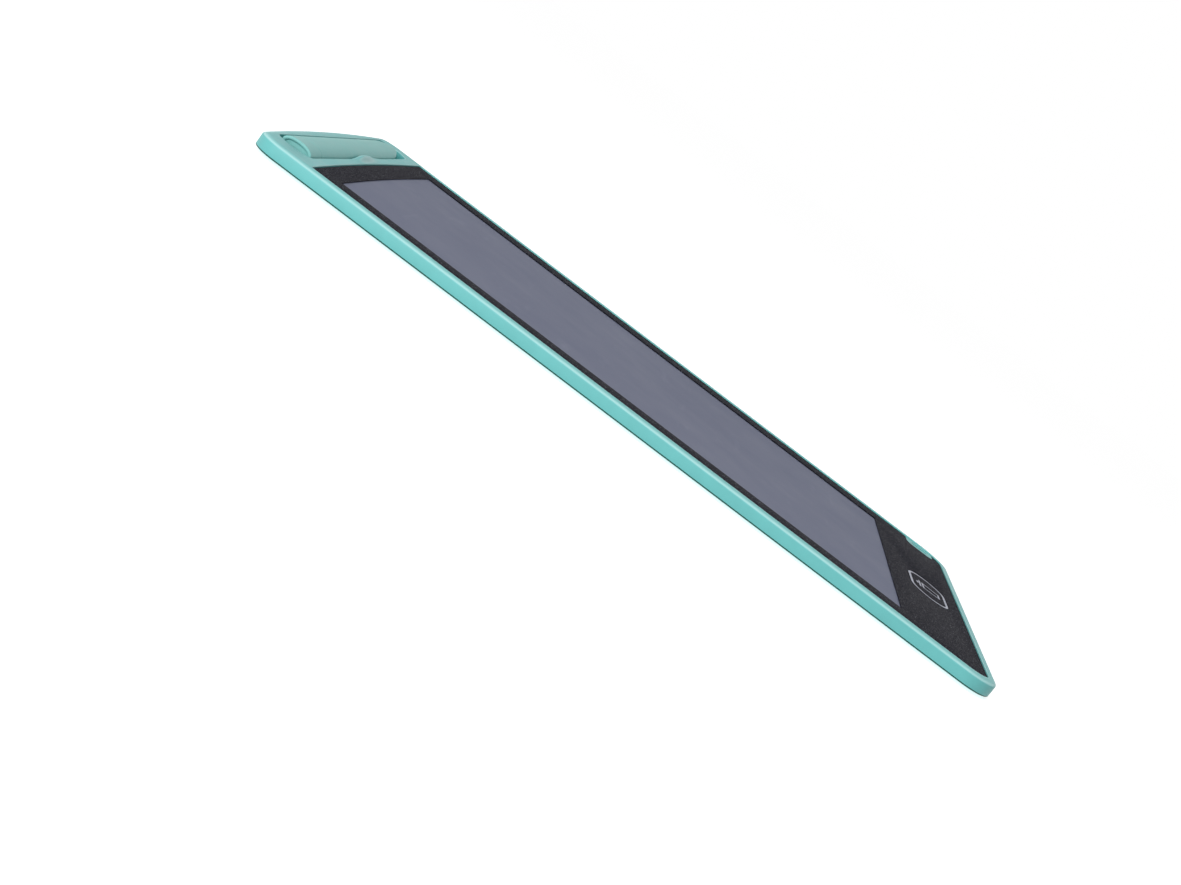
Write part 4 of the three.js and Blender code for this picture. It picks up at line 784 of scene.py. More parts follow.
@dataclass
class FrontFrame:
    """The front moulding: wall and rim, stylus groove, arch, lanyard eye and the deck."""

    sizes: CaseSizes
    book: FinishBook
    rim_lip: float = 0.25 * MM
    groove_lip: float = 0.3 * MM
    groove_play: float = 0.5 * MM
    groove_floor_round: float = 1.0 * MM
    groove_depth: float = 3.0 * MM
    groove_width: float = 9.4 * MM
    groove_edge: float = 3.7 * MM
    groove_side: float = 9.5 * MM
    groove_centre: float = 1.0 * MM
    groove_wall: float = 1.4 * MM
    hump_start: float = -14 * MM
    hump_length: float = 34 * MM
    hump_height: float = HUMP_HEIGHT
    hump_peak: float = 0.31
    hump_crest: float = 0.75
    hump_fall: float = 0.25
    hump_sink: float = 0.02 * MM
    hump_root: float = 0.5 * MM
    hump_overlap: float = 0.1 * MM
    hump_grid: tuple = (81, 21)
    nub_radius: float = 1.6 * MM
    nub_reach: float = 0.2 * MM
    nub_spacing: float = 20 * MM
    nub_root: float = 0.2 * MM
    nub_below: float = 0.4 * MM
    nub_round: float = 0.4 * MM
    eye_width: float = 8 * MM
    eye_length: float = 10 * MM
    eye_y: float = -102 * MM
    eye_corner: float = 2.6 * MM
    eye_slot: tuple = (3.2 * MM, 6 * MM)
    eye_slot_side: float = 7.2 * MM
    seat_gap: float = 0.3 * MM
    tool_reach: float = 1 * MM
    kept_above: float = 0.55 * MM
    key_pocket_depth: float = 0.45 * MM
    opening_corner: float = 0.2 * MM

    @property
    def groove_middle(self) -> tuple:
        """Middle of the groove in plan."""
        return self.groove_centre, self.sizes.case_high.y - self.groove_edge - self.groove_width / 2

    @property
    def groove_length(self) -> float:
        """Length of the groove from end to end."""
        return self.sizes.case_high.x - self.sizes.case_low.x - 2 * self.groove_side

    def outer_block(self) -> Object:
        """The moulding's outside: the case outline carried up a wall with a rounded foot and rim.

        Each ring is the case outline at an inset and a height: a small round at the foot, the
        straight wall, and up to the rim's top a quarter of an ellipse, whose inset is the
        reach times (1 - cos) and whose drop is the rim's drop times (1 - sin) of an angle.
        """
        s = self.sizes
        foot = [(inset, s.frame_bottom + drop) for inset, drop in fillet(s.bottom_fillet, 3)[::-1]]
        rim = [(inset * s.rim_reach, s.rim_top - drop * s.rim_drop) for inset, drop in fillet(1.0, 12)]
        return loft("front_frame_shell", [raised(s.case_outline(inset), z) for inset, z in foot + rim])

    def flared_tool(self, name: str, outline: object, bottom: float, lip: float) -> Object:
        """A cutter whose walls flare out in a quarter round at the rim's top, to round that edge.

        Args:
            name: The cutter's name.
            outline: A function that gives the outline grown by a length.
            bottom: Height of its floor.
            lip: Radius of the rounded edge that it leaves.

        Returns:
            The cutter.
        """
        top = self.sizes.rim_top
        rings = [raised(outline(0.0), bottom)]
        for inset, drop in fillet(lip, 5):
            rings.append(raised(outline(inset), top - drop))
        rings.append(raised(outline(lip), top + self.tool_reach))
        return loft(name, rings)

    def eye_outline(self, grow: float) -> np.ndarray:
        """The face of the lanyard eye, which stands in a notch of the film."""
        left = self.sizes.recess_high[0] - self.eye_width - grow
        right = self.sizes.recess_high[0] + self.eye_corner + self.tool_reach
        low, high = self.eye_y - self.eye_length / 2 - grow, self.eye_y + self.eye_length / 2 + grow
        return rounded_outline((left, low), (right, high), (self.eye_corner + grow,) * 4)

    def groove_tool(self) -> Object:
        """The groove's cutter: a pill with a rounded floor edge and a flared lip."""
        top, floor = self.sizes.rim_top, self.sizes.rim_top - self.groove_depth
        rings = []
        for inset, drop in fillet(self.groove_floor_round, 6)[::-1]:
            rings.append((-inset, floor + drop))
        rings += [(inset, top - drop) for inset, drop in fillet(self.groove_lip, 6)]
        rings.append((self.groove_lip, top + self.tool_reach))
        x, y = self.groove_middle
        return loft("groove_tool", [
            raised(pill_outline((x, y + self.groove_play / 2),
                                (self.groove_length + 2 * grow,
                                 self.groove_width + self.groove_play + 2 * grow)), z)
            for grow, z in rings
        ])

    def cavity_tool(self) -> Object:
        """The hollow under the deck, less the walls round the groove and the lanyard slot."""
        s = self.sizes
        deck_bottom, kept_from = s.film_bottom - TAPE - s.deck, s.frame_bottom + self.kept_above
        tool = slab("cavity_tool", s.case_outline(s.frame_wall), s.frame_bottom - self.tool_reach, deck_bottom)
        wall = 2 * self.groove_wall
        slot = (s.case_high.x - self.eye_slot_side, self.eye_y)
        kept = (
            (self.groove_middle, (self.groove_length + wall, self.groove_width + wall)),
            (slot, (self.eye_slot[0] + wall, self.eye_slot[1] + wall)),
        )
        end = s.case_high.y
        side = self.groove_length / 2
        beyond = rounded_outline((self.groove_centre - side, self.groove_middle[1]),
                                 (self.groove_centre + side, end), (s.least_corner,) * 4, 2)
        work_in(tool, slab("kept_end", beyond, kept_from, s.rim_top), Joinery.CUT)
        for middle, size in kept:
            work_in(tool, slab("kept_wall", pill_outline(middle, size), kept_from, s.rim_top), Joinery.CUT)
        return tool

    def hump(self) -> Object:
        """The raised arch between groove and film, highest beside the groove.

        Along the arch the height is the square of a sine that climbs from 0 to 90 degrees
        between the tail's side and the peak, and falls again up to the tip's side. Across the
        strip it is multiplied by another squared sine, which climbs from the film's side to
        three quarters of the way, and then by a slight fall that rounds the groove's lip.
        """
        s = self.sizes
        near, far = s.recess_high[1] + self.hump_overlap, self.groove_middle[1] - self.groove_width / 2
        share, step = np.meshgrid(*(np.linspace(0.0, 1.0, count) for count in self.hump_grid), indexing="ij")
        climb = np.where(share < self.hump_peak, share / self.hump_peak, (1 - share) / (1 - self.hump_peak))
        crest = self.hump_crest
        rise = np.sin(np.clip(step / crest, 0, 1) * math.pi / 2) ** 2
        lip = 1 - self.hump_fall * np.clip((step - crest) / (1 - crest), 0, 1) ** 2
        height = self.hump_height * np.sin(climb * math.pi / 2) ** 2 * rise * lip
        x = self.hump_start + share * self.hump_length
        y = near + step * (far - near)
        top = np.stack([x, y, s.rim_top - self.hump_sink + height], axis=-1)
        base = top.copy()
        base[..., 2] = s.rim_top - self.hump_root
        return grid_block("hump", top, base)

    def nub(self, x: float) -> Object:
        """A round nub that stands out of the groove's far wall."""
        wall = self.groove_middle[1] + self.groove_width / 2 + self.groove_play
        middle = (x, wall + self.nub_radius - self.nub_reach)
        s, size = self.sizes, 2 * self.nub_radius
        levels = [(0.0, s.rim_top - self.groove_depth - self.nub_root)]
        levels += [(inset, s.rim_top - self.nub_below - drop) for inset, drop in fillet(self.nub_round, 4)]
        return loft("nub", [raised(pill_outline(middle, (size - 2 * inset, size - 2 * inset), 10), z)
                            for inset, z in levels])

    def build(self) -> None:
        """Cuts and joins the moulding, and dresses it."""
        s = self.sizes
        shell = self.outer_block()
        deck_top, pocket = s.film_bottom - TAPE, WINDOW_OVERLAP + self.seat_gap
        recess = slab("film_seat", s.recess_outline(0.0), deck_top, s.rim_top)
        reach = self.tool_reach
        work_in(recess, slab("eye_face", self.eye_outline(0.0), deck_top - reach, s.rim_top + reach), Joinery.CUT)
        opening = rounded_outline(tuple(np.array(s.window_low) - pocket), tuple(np.array(s.window_high) + pocket),
                                  (self.opening_corner,) * 4, 2)
        key_middle, key_size = plan_of("erase_button")
        key_size = key_size + 2 * self.seat_gap
        key_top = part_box("erase_button")[0].z + TAPE + self.key_pocket_depth
        slot_middle = (s.case_high.x - self.eye_slot_side, self.eye_y)
        for tool in (
            self.cavity_tool(),
            self.flared_tool("film_level", s.recess_outline, s.film_top, self.rim_lip),
            recess,
            slab("panel_opening", opening, 0.0, s.rim_top),
            slab("key_hole", pill_outline(key_middle, key_size - 2 * KEY_FLANGE), 0.0, s.rim_top),
            slab("key_pocket", pill_outline(key_middle, key_size), 0.0, key_top),
            self.groove_tool(),
            slab("eye_slot", pill_outline(slot_middle, self.eye_slot, 8), 0.0, s.rim_top),
        ):
            work_in(shell, tool, Joinery.CUT)
        work_in(shell, self.hump(), Joinery.JOIN)
        for side in (-1, 1):
            work_in(shell, self.nub(self.groove_centre + side * self.nub_spacing / 2), Joinery.JOIN)
        tidy_mesh(shell)
        stand_for(shell, "front_frame", "case", self.book.get(FRAME_TURQUOISE))


def grid_block(name: str, top: np.ndarray, base: np.ndarray) -> Object:
    """A closed block between two grids of points that have the same shape, top over base.

    Args:
        name: Name of the piece.
        top: Points of the upper face, of shape (rows, columns, 3).
        base: Points of the lower face, of the same shape.

    Returns:
        The block.
    """
    rows, columns = top.shape[:2]
    index = np.arange(rows * columns).reshape(rows, columns)
    upper = np.stack([index[:-1, :-1], index[1:, :-1], index[1:, 1:], index[:-1, 1:]], axis=-1).reshape(-1, 4)
    lower = upper[:, ::-1] + rows * columns
    rim = np.concatenate([index[0, :-1], index[:-1, -1], index[-1, :0:-1], index[:0:-1, 0]])
    after = np.roll(rim, -1)
    sides = np.stack([rim, after, after + rows * columns, rim + rows * columns], axis=-1)
    faces = upper.tolist() + lower.tolist() + sides.tolist()
    return make_piece(name, np.concatenate([top.reshape(-1, 3), base.reshape(-1, 3)]), faces)


def plate(name: str, outlines: list, bottom: float, top: float, edge: float) -> Object:
    """A flat plate with holes and softened edges.

    Every outline is carried up a wall and in over a small round, and the face between the
    outermost line and the holes is filled flat.

    Args:
        name: Name of the piece.
        outlines: The outer outline first, then the holes, each an array of points in turn order.
        bottom: Height of the lower face.
        top: Height of the upper face.
        edge: Radius of the upper edge.

    Returns:
        The plate.
    """
    work = bmesh.new()
    steps = fillet(edge, 3)
    for number, outline in enumerate(outlines):
        side = 1.0 if number == 0 else -1.0
        ahead, behind = np.roll(outline, -1, axis=0), np.roll(outline, 1, axis=0)
        along = ahead - behind
        along /= np.maximum(np.linalg.norm(along, axis=1, keepdims=True), 1e-12)
        inward = side * np.stack([-along[:, 1], along[:, 0]], axis=1)
        levels = [(0.0, bottom)] + [(inset, top - drop) for inset, drop in steps]
        rings = [[work.verts.new((*point, z)) for point in outline + inward * inset] for inset, z in levels]
        for below, above in zip(rings[:-1], rings[1:]):
            for i, vert in enumerate(below):
                j = (i + 1) % len(below)
                work.faces.new((vert, below[j], above[j], above[i]))
    for height in (bottom, top):
        edges = [e for e in work.edges
                 if e.is_boundary and all(abs(v.co.z - height) < SAME_HEIGHT for v in e.verts)]
        bmesh.ops.triangle_fill(work, edges=edges, use_beauty=True, use_dissolve=False)
    mesh = bpy.data.meshes.new(name)
    work.to_mesh(mesh)
    work.free()
    piece = link_piece(name, mesh)
    tidy_mesh(piece)
    return piece


@dataclass
class FaceFilm:
    """The black grained film and the writing film that shows in its window."""

    sizes: CaseSizes
    frame: FrontFrame
    book: FinishBook
    edge: float = 0.05 * MM
    ripple: float = 0.03 * MM
    ripple_grid: tuple = (60, 90)

    def film_outline(self) -> np.ndarray:
        """The film's outer line, which steps round the lanyard eye.

        The recess outline is drawn in by the trim gap. The eye's notch replaces the stretch of
        the right side between its two corners, with round ends.
        """
        s, eye = self.sizes, self.frame
        outline = s.recess_outline(-s.trim_gap)
        right = outline[:, 0].max()
        gap = s.trim_gap
        low, high = eye.eye_y - eye.eye_length / 2 - gap, eye.eye_y + eye.eye_length / 2 + gap
        left = s.recess_high[0] - eye.eye_width - gap
        radius = eye.eye_corner + gap
        turn = np.linspace(0, math.pi / 2, 9)
        lower = np.stack([left + radius * (1 - np.sin(turn)), low + radius * (1 - np.cos(turn))], axis=1)
        upper = np.stack([left + radius * (1 - np.cos(turn)), high - radius * (1 - np.sin(turn))], axis=1)
        notch = np.concatenate([[[right, low]], lower, upper, [[right, high]]])
        lower_right = outline[:CORNER_STEPS + 1]
        kept = lower_right[lower_right[:, 1] < low]
        rest = outline[CORNER_STEPS + 1:]
        return np.concatenate([kept, notch, rest])

    def build(self) -> None:
        """Builds and dresses both films."""
        s = self.sizes
        middle, size = plan_of("erase_button")
        hole = pill_outline(middle, size - 2 * KEY_FLANGE + 2 * s.trim_gap)
        film = plate("bezel_film_grained", [self.film_outline(), s.window_outline(), hole],
                     s.film_bottom, s.film_top, self.edge)
        stand_for(film, "bezel_film", "case", self.book.get(BLACK_GRAIN))
        self.writing_film()

    def writing_film(self) -> None:
        """The writing film: a grid whose height ripples by a few hundredths of a millimetre.

        The ripple is a sum of three long sine waves of x and y, faded out at the film's edges.
        """
        low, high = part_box("lcd_front_film")
        x, y = np.meshgrid(*(np.linspace(low[axis], high[axis], count)
                             for axis, count in enumerate(self.ripple_grid)), indexing="ij")
        u, v = (x - low.x) / (high.x - low.x), (y - low.y) / (high.y - low.y)
        wave = np.sin(7.0 * u + 2.0 * v) + np.sin(9.0 * v - 3.0 * u + 1.0) + np.sin(5.0 * u * v * 3 + 2.0)
        fade = np.clip(8 * u * (1 - u), 0, 1) * np.clip(10 * v * (1 - v), 0, 1)
        top = np.stack([x, y, high.z - self.ripple * fade * (0.5 + wave / 6)], axis=-1)
        base = np.stack([x, y, np.full_like(x, low.z)], axis=-1)
        piece = grid_block("writing_film_surface", top, base)
        stand_for(piece, "lcd_front_film", "case", self.book.get(WRITING_GREY))


@dataclass
class EraseKey:
    """The erase key: a grained pill with a pale ring and a bin pictogram printed on it."""

    book: FinishBook
    middle: np.ndarray
    size: np.ndarray
    bottom: float
    top: float
    skirt_low: float = 0.1 * MM
    skirt_high: float = 0.5 * MM
    edge: float = 0.12 * MM
    ring_inset: float = 0.25 * MM
    ring_width: float = 0.85 * MM
    print_height: float = 0.015 * MM
    print_edge: float = 0.004 * MM
    bin_height: float = 8.0 * MM
    bin_width: float = 6.4 * MM
    line: float = 0.75 * MM
    bin_taper: float = 0.75
    tub_line: float = 0.8
    lid_below: float = 1.6
    lid_overhang: float = 0.5
    lid_span: tuple = (-0.3, 0.5)
    handle_share: float = 0.4
    handle_span: tuple = (0.8, 1.6)

    @classmethod
    def from_frame(cls, book: FinishBook) -> "EraseKey":
        """Reads the key's place from the CAD node's box."""
        low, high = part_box("erase_button")
        middle, size = plan_of("erase_button")
        return cls(book, middle, size - 2 * KEY_FLANGE, low.z, high.z)

    def build(self) -> None:
        """Builds the key and its prints."""
        cap = plate("erase_key_cap", [pill_outline(self.middle, self.size)], self.bottom, self.top, self.edge)
        skirt = pill_outline(self.middle, self.size + 2 * KEY_FLANGE)
        low, high = self.bottom + self.skirt_low, self.bottom + self.skirt_high
        work_in(cap, slab("skirt", skirt, low, high), Joinery.JOIN)
        tidy_mesh(cap)
        stand_for(cap, "erase_button", "erase_key", self.book.get(BLACK_GRAIN))
        outer, inner = (pill_outline(self.middle, self.size - 2 * inset)
                        for inset in (self.ring_inset, self.ring_inset + self.ring_width))
        self.print_on("erase_key_ring", [outer, inner])
        self.bin_pictogram()

    def print_on(self, name: str, outlines: list) -> None:
        """A printed figure: a very thin raised plate on the key's top."""
        ink = plate(name, outlines, self.top, self.top + self.print_height, self.print_edge)
        place(ink, "erase_key", self.book.get(PALE_INK))

    def bar(self, low: tuple, high: tuple) -> np.ndarray:
        """A small rounded bar, placed from the key's middle."""
        return rounded_outline(tuple(self.middle + low), tuple(self.middle + high), (self.line / 3,) * 4, 3)

    def bin_pictogram(self) -> None:
        """A plain bin: a tapering tub with its hollow, a lid and the lid's handle."""
        half, line = self.bin_width / 2, self.line
        foot, lid = -self.bin_height / 2, self.bin_height / 2 - self.lid_below * line

        def tub(inset: float) -> np.ndarray:
            """The tub's outline, drawn in by an inset."""
            wide, narrow = half - inset, half * self.bin_taper - inset
            return self.middle + np.array([[-narrow, foot + inset], [narrow, foot + inset],
                                           [wide, lid - line - inset], [-wide, lid - line - inset]])

        self.print_on("erase_key_bin_tub", [tub(0.0), tub(line * self.tub_line)])
        for name, reach, (low, high) in (
            ("lid", half + line * self.lid_overhang, self.lid_span),
            ("handle", half * self.handle_share, self.handle_span),
        ):
            bar = self.bar((-reach, lid + line * low), (reach, lid + line * high))
            self.print_on("erase_key_bin_" + name, [bar])


@dataclass
class Stylus:
    """The stylus: a flattened barrel with a tapered tip, an open tail piece and a nib."""

    book: FinishBook
    axis: tuple
    width: float
    height: float
    start: float
    end: float
    roundness: float = 2.2
    around: int = 72
    taper: float = 15 * MM
    tip_width: float = 3.8 * MM
    tip_height: float = 3.0 * MM
    seam: float = 0.12 * MM
    tail_wall: float = 0.9 * MM
    tail_depth: float = 0.4 * MM
    edge: float = 0.35 * MM
    taper_power: float = 1.6
    seam_gap: float = 0.15 * MM
    slimmer: float = 0.35 * MM
    dish: tuple = ((1.0, 0.1), (1.0, 0.5), (0.98, 0.85), (0.85, 0.93), (0.5, 0.98), (0.0, 1.0))
    nib_around: int = 32
    nib_steps: int = 8
    nib_flat: float = 0.05

    @classmethod
    def from_frame(cls, book: FinishBook) -> "Stylus":
        """Reads the barrel's place from its CAD node's box, and makes it a little slimmer in height."""
        low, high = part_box("stylus_barrel")
        axis = ((low.y + high.y) / 2, (low.z + high.z - cls.slimmer) / 2)
        return cls(book, axis, high.y - low.y, high.z - low.z - cls.slimmer, low.x, high.x)

    def ring(self, x: float, width: float, height: float) -> np.ndarray:
        """One section: a superellipse about the stylus's axis.

        y and z are half the width and height times cos and sin, each raised to the power
        2 / roundness with its sign kept.
        """
        angle = np.linspace(0, 2 * math.pi, self.around, endpoint=False)
        power = 2 / self.roundness
        c, s = np.cos(angle), np.sin(angle)
        y = self.axis[0] + width / 2 * np.sign(c) * np.abs(c) ** power
        z = self.axis[1] + height / 2 * np.sign(s) * np.abs(s) ** power
        return np.column_stack([np.full(self.around, x), y, z])

    def full_ring(self, x: float, inset: float = 0.0) -> np.ndarray:
        """A section at the stylus's full size, drawn in by an inset."""
        return self.ring(x, self.width - 2 * inset, self.height - 2 * inset)

    def dress(self, name: str, rings: list, node: str) -> None:
        """Lofts a piece of the stylus, and lets it stand for its node."""
        stand_for(loft(name, rings), node, "stylus", self.book.get(STYLUS_TURQUOISE))

    def build(self) -> None:
        """Builds and dresses the three pieces."""
        self.barrel()
        self.tail()
        self.nib()

    def barrel(self) -> None:
        """The barrel: an even section that narrows to the tip by a power of the distance."""
        rings = [self.full_ring(self.start + drop, inset) for inset, drop in fillet(self.seam, 3)[::-1]]
        rings.append(self.full_ring(self.start + 2 * self.seam))
        for part in np.linspace(0, 1, 25):
            less = part ** self.taper_power
            width = self.width + (self.tip_width - self.width) * less
            height = self.height + (self.tip_height - self.height) * less
            rings.append(self.ring(self.end - self.edge - (self.taper - self.edge) * (1 - part), width, height))
        for inset, drop in fillet(self.edge, 5)[1:]:
            rings.append(self.ring(self.end - drop, self.tip_width - 2 * inset, self.tip_height - 2 * inset))
        self.dress("stylus_barrel_shell", rings, "stylus_barrel")

    def tail(self) -> None:
        """The tail: a rounded rim round a shallow dish, and a flat end at the seam.

        The dish is given as shares of its depth and of the inner width.
        The rim's cross-section is half an ellipse: its reach out of the rim's foot is the edge
        times the sine, and its inset the wall times half of (1 - cos), of an angle.
        """
        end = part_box("stylus_tail")[0].x
        wall, depth = self.tail_wall, self.tail_depth
        inner = np.array([self.width, self.height]) - 2 * wall
        rings = [self.ring(end + self.edge + depth * dip, *(inner * share))
                 for dip, share in self.dish]
        for angle in np.linspace(0, math.pi, 13)[1:]:
            grow = wall * (1 - math.cos(angle)) / 2
            rings.append(self.ring(end + self.edge * (1 - math.sin(angle)), *(inner + 2 * grow)))
        rings.append(self.full_ring(end + 2 * self.edge))
        stop = self.start - self.seam_gap
        rings.append(self.full_ring(stop - 2 * self.seam))
        rings += [self.full_ring(stop - drop, inset) for inset, drop in fillet(self.seam, 3)]
        self.dress("stylus_tail_shell", rings, "stylus_tail")

    def nib(self) -> None:
        """The nib: a round rod that ends in a half ball."""
        low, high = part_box("stylus_nib")
        radius = (high.z - low.z) / 2
        steps = [(low.x, radius), (high.x - radius, radius)]
        steps += [(high.x - radius * (1 - math.sin(a)), radius * math.cos(a))
                  for a in np.linspace(0, math.pi / 2, self.nib_steps)[1:-1]]
        steps.append((high.x, radius * self.nib_flat))
        piece = turned("stylus_nib_rod", steps, self.axis, self.nib_around, along_x=True)
        stand_for(piece, "stylus_nib", "stylus", self.book.get(STYLUS_TURQUOISE))


@dataclass
class RearSide:
    """The rear cover, its door, lock and feet."""

    book: FinishBook
    foot_edge: float = 0.25 * MM
    foot_around: int = 64

    def build(self) -> None:
        """Dresses smooth copies of the rear pieces."""
        for node, body, slot, finish in (
            ("rear_cover", "case", "case_plastic", TURQUOISE),
            ("battery_door", "battery_hatch", "case_plastic", TURQUOISE),
            ("door_screw", "battery_hatch", "steel", STEEL),
            ("lock_slider", "lock", "key_plastic", BLACK_PLASTIC),
        ):
            stand_for(copy_node(node, node + "_shell"), node, body, self.book.get(finish))
        for number in range(1, 5):
            self.foot(f"rubber_foot_{number}")

    def foot(self, node: str) -> None:
        """A rubber foot: a disc whose lower edge is a quarter round."""
        low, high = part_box(node)
        middle, radius = (low + high) / 2, (high.x - low.x) / 2
        steps = [(low.z + drop, radius - inset) for inset, drop in fillet(self.foot_edge, 5)[::-1]]
        piece = turned(node + "_pad", steps + [(high.z, radius)], middle, self.foot_around)
        stand_for(piece, node, "case", self.book.get(FOOT_RUBBER))


@dataclass(frozen=True)
class FoamPad:
    """The foam pad squeezed between the writing panel and the support plate."""

    book: FinishBook
    corner: float = 2.0 * MM
    side_pull: float = 0.5 * MM
    side_power: int = 60
    side_steps: int = 24
    edge_bulge: float = 0.2 * MM
    edge_steps: int = 8
    fill: float = 0.9

    def outline(self, low: np.ndarray, high: np.ndarray) -> np.ndarray:
        """The pad's outline, whose sides pull in between its corners.

        Each coordinate falls back towards the middle by the pull times (1 - the square of the
        other coordinate's share of its half extent), times a high power of its own share, so
        that only the points near a side move and the corners stay.

        Args:
            low: Lowest x and y.
            high: Highest x and y.

        Returns:
            An array of points, of shape (count, 2).
        """
        corners = rounded_outline(tuple(low), tuple(high), (self.corner,) * 4)
        following = np.roll(corners, -1, axis=0)
        share = np.linspace(0.0, 1.0, self.side_steps, endpoint=False)[:, None]
        runs = np.linalg.norm(following - corners, axis=1) > self.corner
        dense = np.concatenate([start + share * (end - start) if run else start[None]
                                for start, end, run in zip(corners, following, runs)])
        own = (dense - (low + high) / 2) / ((high - low) / 2)
        pull = self.side_pull * (1 - own[:, ::-1] ** 2) * np.abs(own) ** self.side_power
        return dense - np.sign(own) * pull

    def build(self) -> None:
        """Lofts the pad: its cut edge bulges out halfway up, where the squeeze presses it.

        A ring at share t of the height is inset by the bulge times (1 - sin of pi times t).
        """
        low, high = (np.array(corner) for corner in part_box("foam_pad"))
        middle, half = (low + high)[:2] / 2, (high - low)[:2] / 2
        rings = []
        for share in np.linspace(0.0, 1.0, self.edge_steps + 1):
            inset = self.edge_bulge * (1 - math.sin(math.pi * share))
            ring = self.outline(middle - half + inset, middle + half - inset)
            rings.append(raised(ring, low[2] + share * (high[2] - low[2])))
        pad = loft("foam_pad_squeezed", rings)
        stand_for(pad, "foam_pad", "case", self.book.get(FOAM_BLACK))


INNER_FINISHES = {
    "film_adhesive": TAPE_WHITE,
    "lcd_back_film": BLACK_PLASTIC,
    "support_plate": SHEET_WHITE,
    "circuit_board": SOLDER_RESIST,
    "board_screw_1": STEEL,
    "board_screw_2": STEEL,
    "dome_switch": STEEL,
    "driver_chip": EPOXY_BLACK,
    "boost_inductor": EPOXY_BLACK,
    "storage_capacitor": CAPACITOR_TAN,
    "flex_tail": FLEX_AMBER,
    "coin_cell": STEEL,
    "negative_contact": STEEL,
    "positive_contact": STEEL,
    "lock_wiper": STEEL,
}


def dress_inner_pieces(book: FinishBook) -> None:
    """Gives every piece inside the case its finish."""
    for node, finish in INNER_FINISHES.items():
        piece = bpy.data.objects[node]
        piece.data.materials.clear()
        piece.data.materials.append(book.get(finish))
        LOG.info("%s: %s", node, finish.name)


# The studio


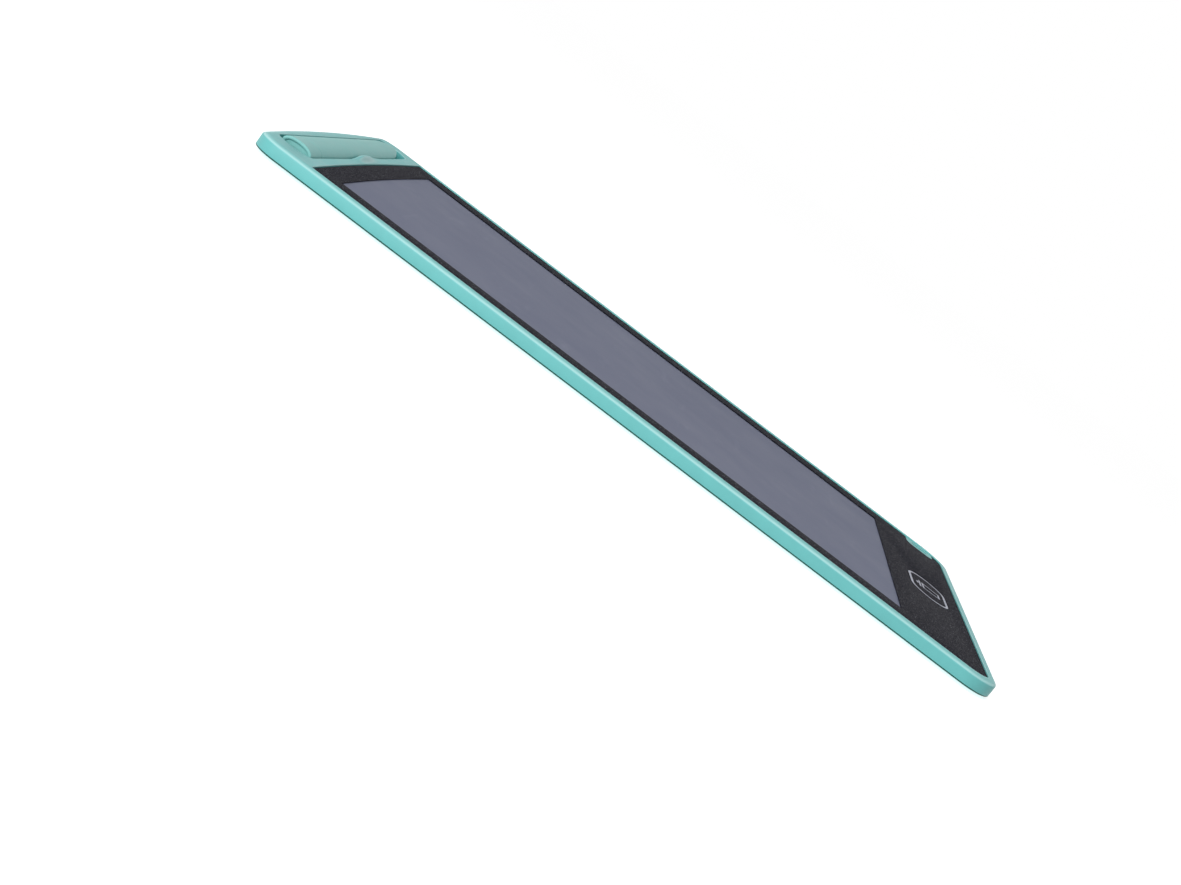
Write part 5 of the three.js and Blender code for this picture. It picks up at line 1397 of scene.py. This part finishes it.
@dataclass(frozen=True)
class Studio:
    """A pale floor, soft lamps and the photograph's camera."""

    floor_half: float = 60.0
    floor_colour: tuple = (0.8, 0.8, 0.8)
    floor_lift: float = 0.66
    floor_roughness: float = 0.9
    sky_level: float = 0.42
    camera_place: tuple = (-0.5097, 0.0094, 0.0715)
    camera_right: tuple = (0.0952, -0.7966, 0.5970)
    camera_down: tuple = (-0.1499, -0.6043, -0.7825)
    focal_pixels: float = 1839.5
    image_width: int = 1181
    sensor: float = 36.0
    clip: tuple = (0.01, 300.0)
    lamps: tuple = (
        ("key_lamp", (-0.92, 0.4, 0.27), (0.6, 0.6), 8.5),
        ("top_lamp", (-0.18, 0.0, 0.8), (0.3, 0.9), 0.9),
        ("under_lamp", (0.1, -0.1, -0.6), (0.5, 0.5), 2.0),
    )

    def build(self) -> None:
        """Sets up the world, floor, lamps and camera."""
        scene = bpy.context.scene
        scene.view_settings.view_transform = "Standard"
        self.sky(scene)
        self.floor()
        for settings in self.lamps:
            self.lamp(*settings)
        self.camera(scene)

    def sky(self, scene: Scene) -> None:
        """A soft world that is white where the camera, a reflection or glass sees it."""
        world = bpy.data.worlds.new("studio")
        world.use_nodes = True
        nodes = Nodes(world.node_tree)
        back = world.node_tree.nodes["Background"]
        nodes.join(nodes.span(nodes.seen_directly(), 0.0, 1.0, self.sky_level, 1.0), back.inputs["Strength"])
        back.inputs["Color"].default_value = (1.0, 1.0, 1.0, 1.0)
        scene.world = world

    def floor(self) -> None:
        """A wide flat floor, a little self-lit where it is seen, that vanishes from below.

        It takes the tablet's shadow, but lets the light from below through to the underside.
        """
        half = self.floor_half
        points = np.array([[-half, -half, 0], [half, -half, 0], [half, half, 0], [-half, half, 0]])
        mesh = bpy.data.meshes.new("floor")
        mesh.from_pydata(points.tolist(), [], [(0, 1, 2, 3)])
        floor = link_piece("floor", mesh)
        material = bpy.data.materials.new("pale_floor")
        material.use_nodes = True
        nodes = Nodes(material.node_tree)
        shader = material.node_tree.nodes["Principled BSDF"]
        shader.inputs["Base Color"].default_value = (*self.floor_colour, 1.0)
        shader.inputs["Roughness"].default_value = self.floor_roughness
        shader.inputs["Specular IOR Level"].default_value = 0.0
        shader.inputs["Emission Color"].default_value = (1.0, 1.0, 1.0, 1.0)
        glow = nodes.span(nodes.seen_directly(), 0.0, 1.0, 0.0, self.floor_lift)
        nodes.join(glow, shader.inputs["Emission Strength"])
        clear = nodes.add("ShaderNodeBsdfTransparent")
        mix = nodes.add("ShaderNodeMixShader")
        nodes.join(nodes.add("ShaderNodeNewGeometry").outputs["Backfacing"], mix.inputs["Fac"])
        nodes.join(shader.outputs["BSDF"], mix.inputs[1])
        nodes.join(clear.outputs["BSDF"], mix.inputs[2])
        nodes.join(mix.outputs["Shader"], material.node_tree.nodes["Material Output"].inputs["Surface"])
        mesh.materials.append(material)
        floor.visible_diffuse = floor.visible_shadow = False

    def lamp(self, name: str, spot: tuple, size: tuple, power: float) -> None:
        """A rectangular area lamp that points at the tablet's middle."""
        light = bpy.data.lights.new(name, "AREA")
        light.shape = "RECTANGLE"
        light.size, light.size_y = size
        light.energy = power
        lamp = bpy.data.objects.new(name, light)
        lamp.location = spot
        lamp.rotation_euler = (-Vector(spot)).to_track_quat("-Z", "Y").to_euler()
        bpy.context.scene.collection.objects.link(lamp)

    def camera(self, scene: Scene) -> None:
        """The photograph's camera, from its fitted place and its image directions."""
        data = bpy.data.cameras.new("camera")
        data.sensor_width = self.sensor
        data.lens = self.sensor * self.focal_pixels / self.image_width
        data.clip_start, data.clip_end = self.clip
        right, down = Vector(self.camera_right).normalized(), Vector(self.camera_down)
        up = -(down - right * down.dot(right)).normalized()
        back = right.cross(up)
        turn = Matrix((right, up, back)).transposed().to_4x4()
        camera = bpy.data.objects.new("camera", data)
        camera.matrix_world = Matrix.Translation(self.camera_place) @ turn
        scene.collection.objects.link(camera)
        scene.camera = camera


def main() -> None:
    """Builds the stage and every piece."""
    logging.basicConfig(level=logging.INFO, format="%(name)s %(message)s")
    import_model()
    Studio().build()
    book = FinishBook()
    sizes = CaseSizes.from_frame()
    frame = FrontFrame(sizes, book)
    frame.build()
    FaceFilm(sizes, frame, book).build()
    EraseKey.from_frame(book).build()
    Stylus.from_frame(book).build()
    RearSide(book).build()
    FoamPad(book).build()
    dress_inner_pieces(book)


if __name__ == "__main__":
    main()
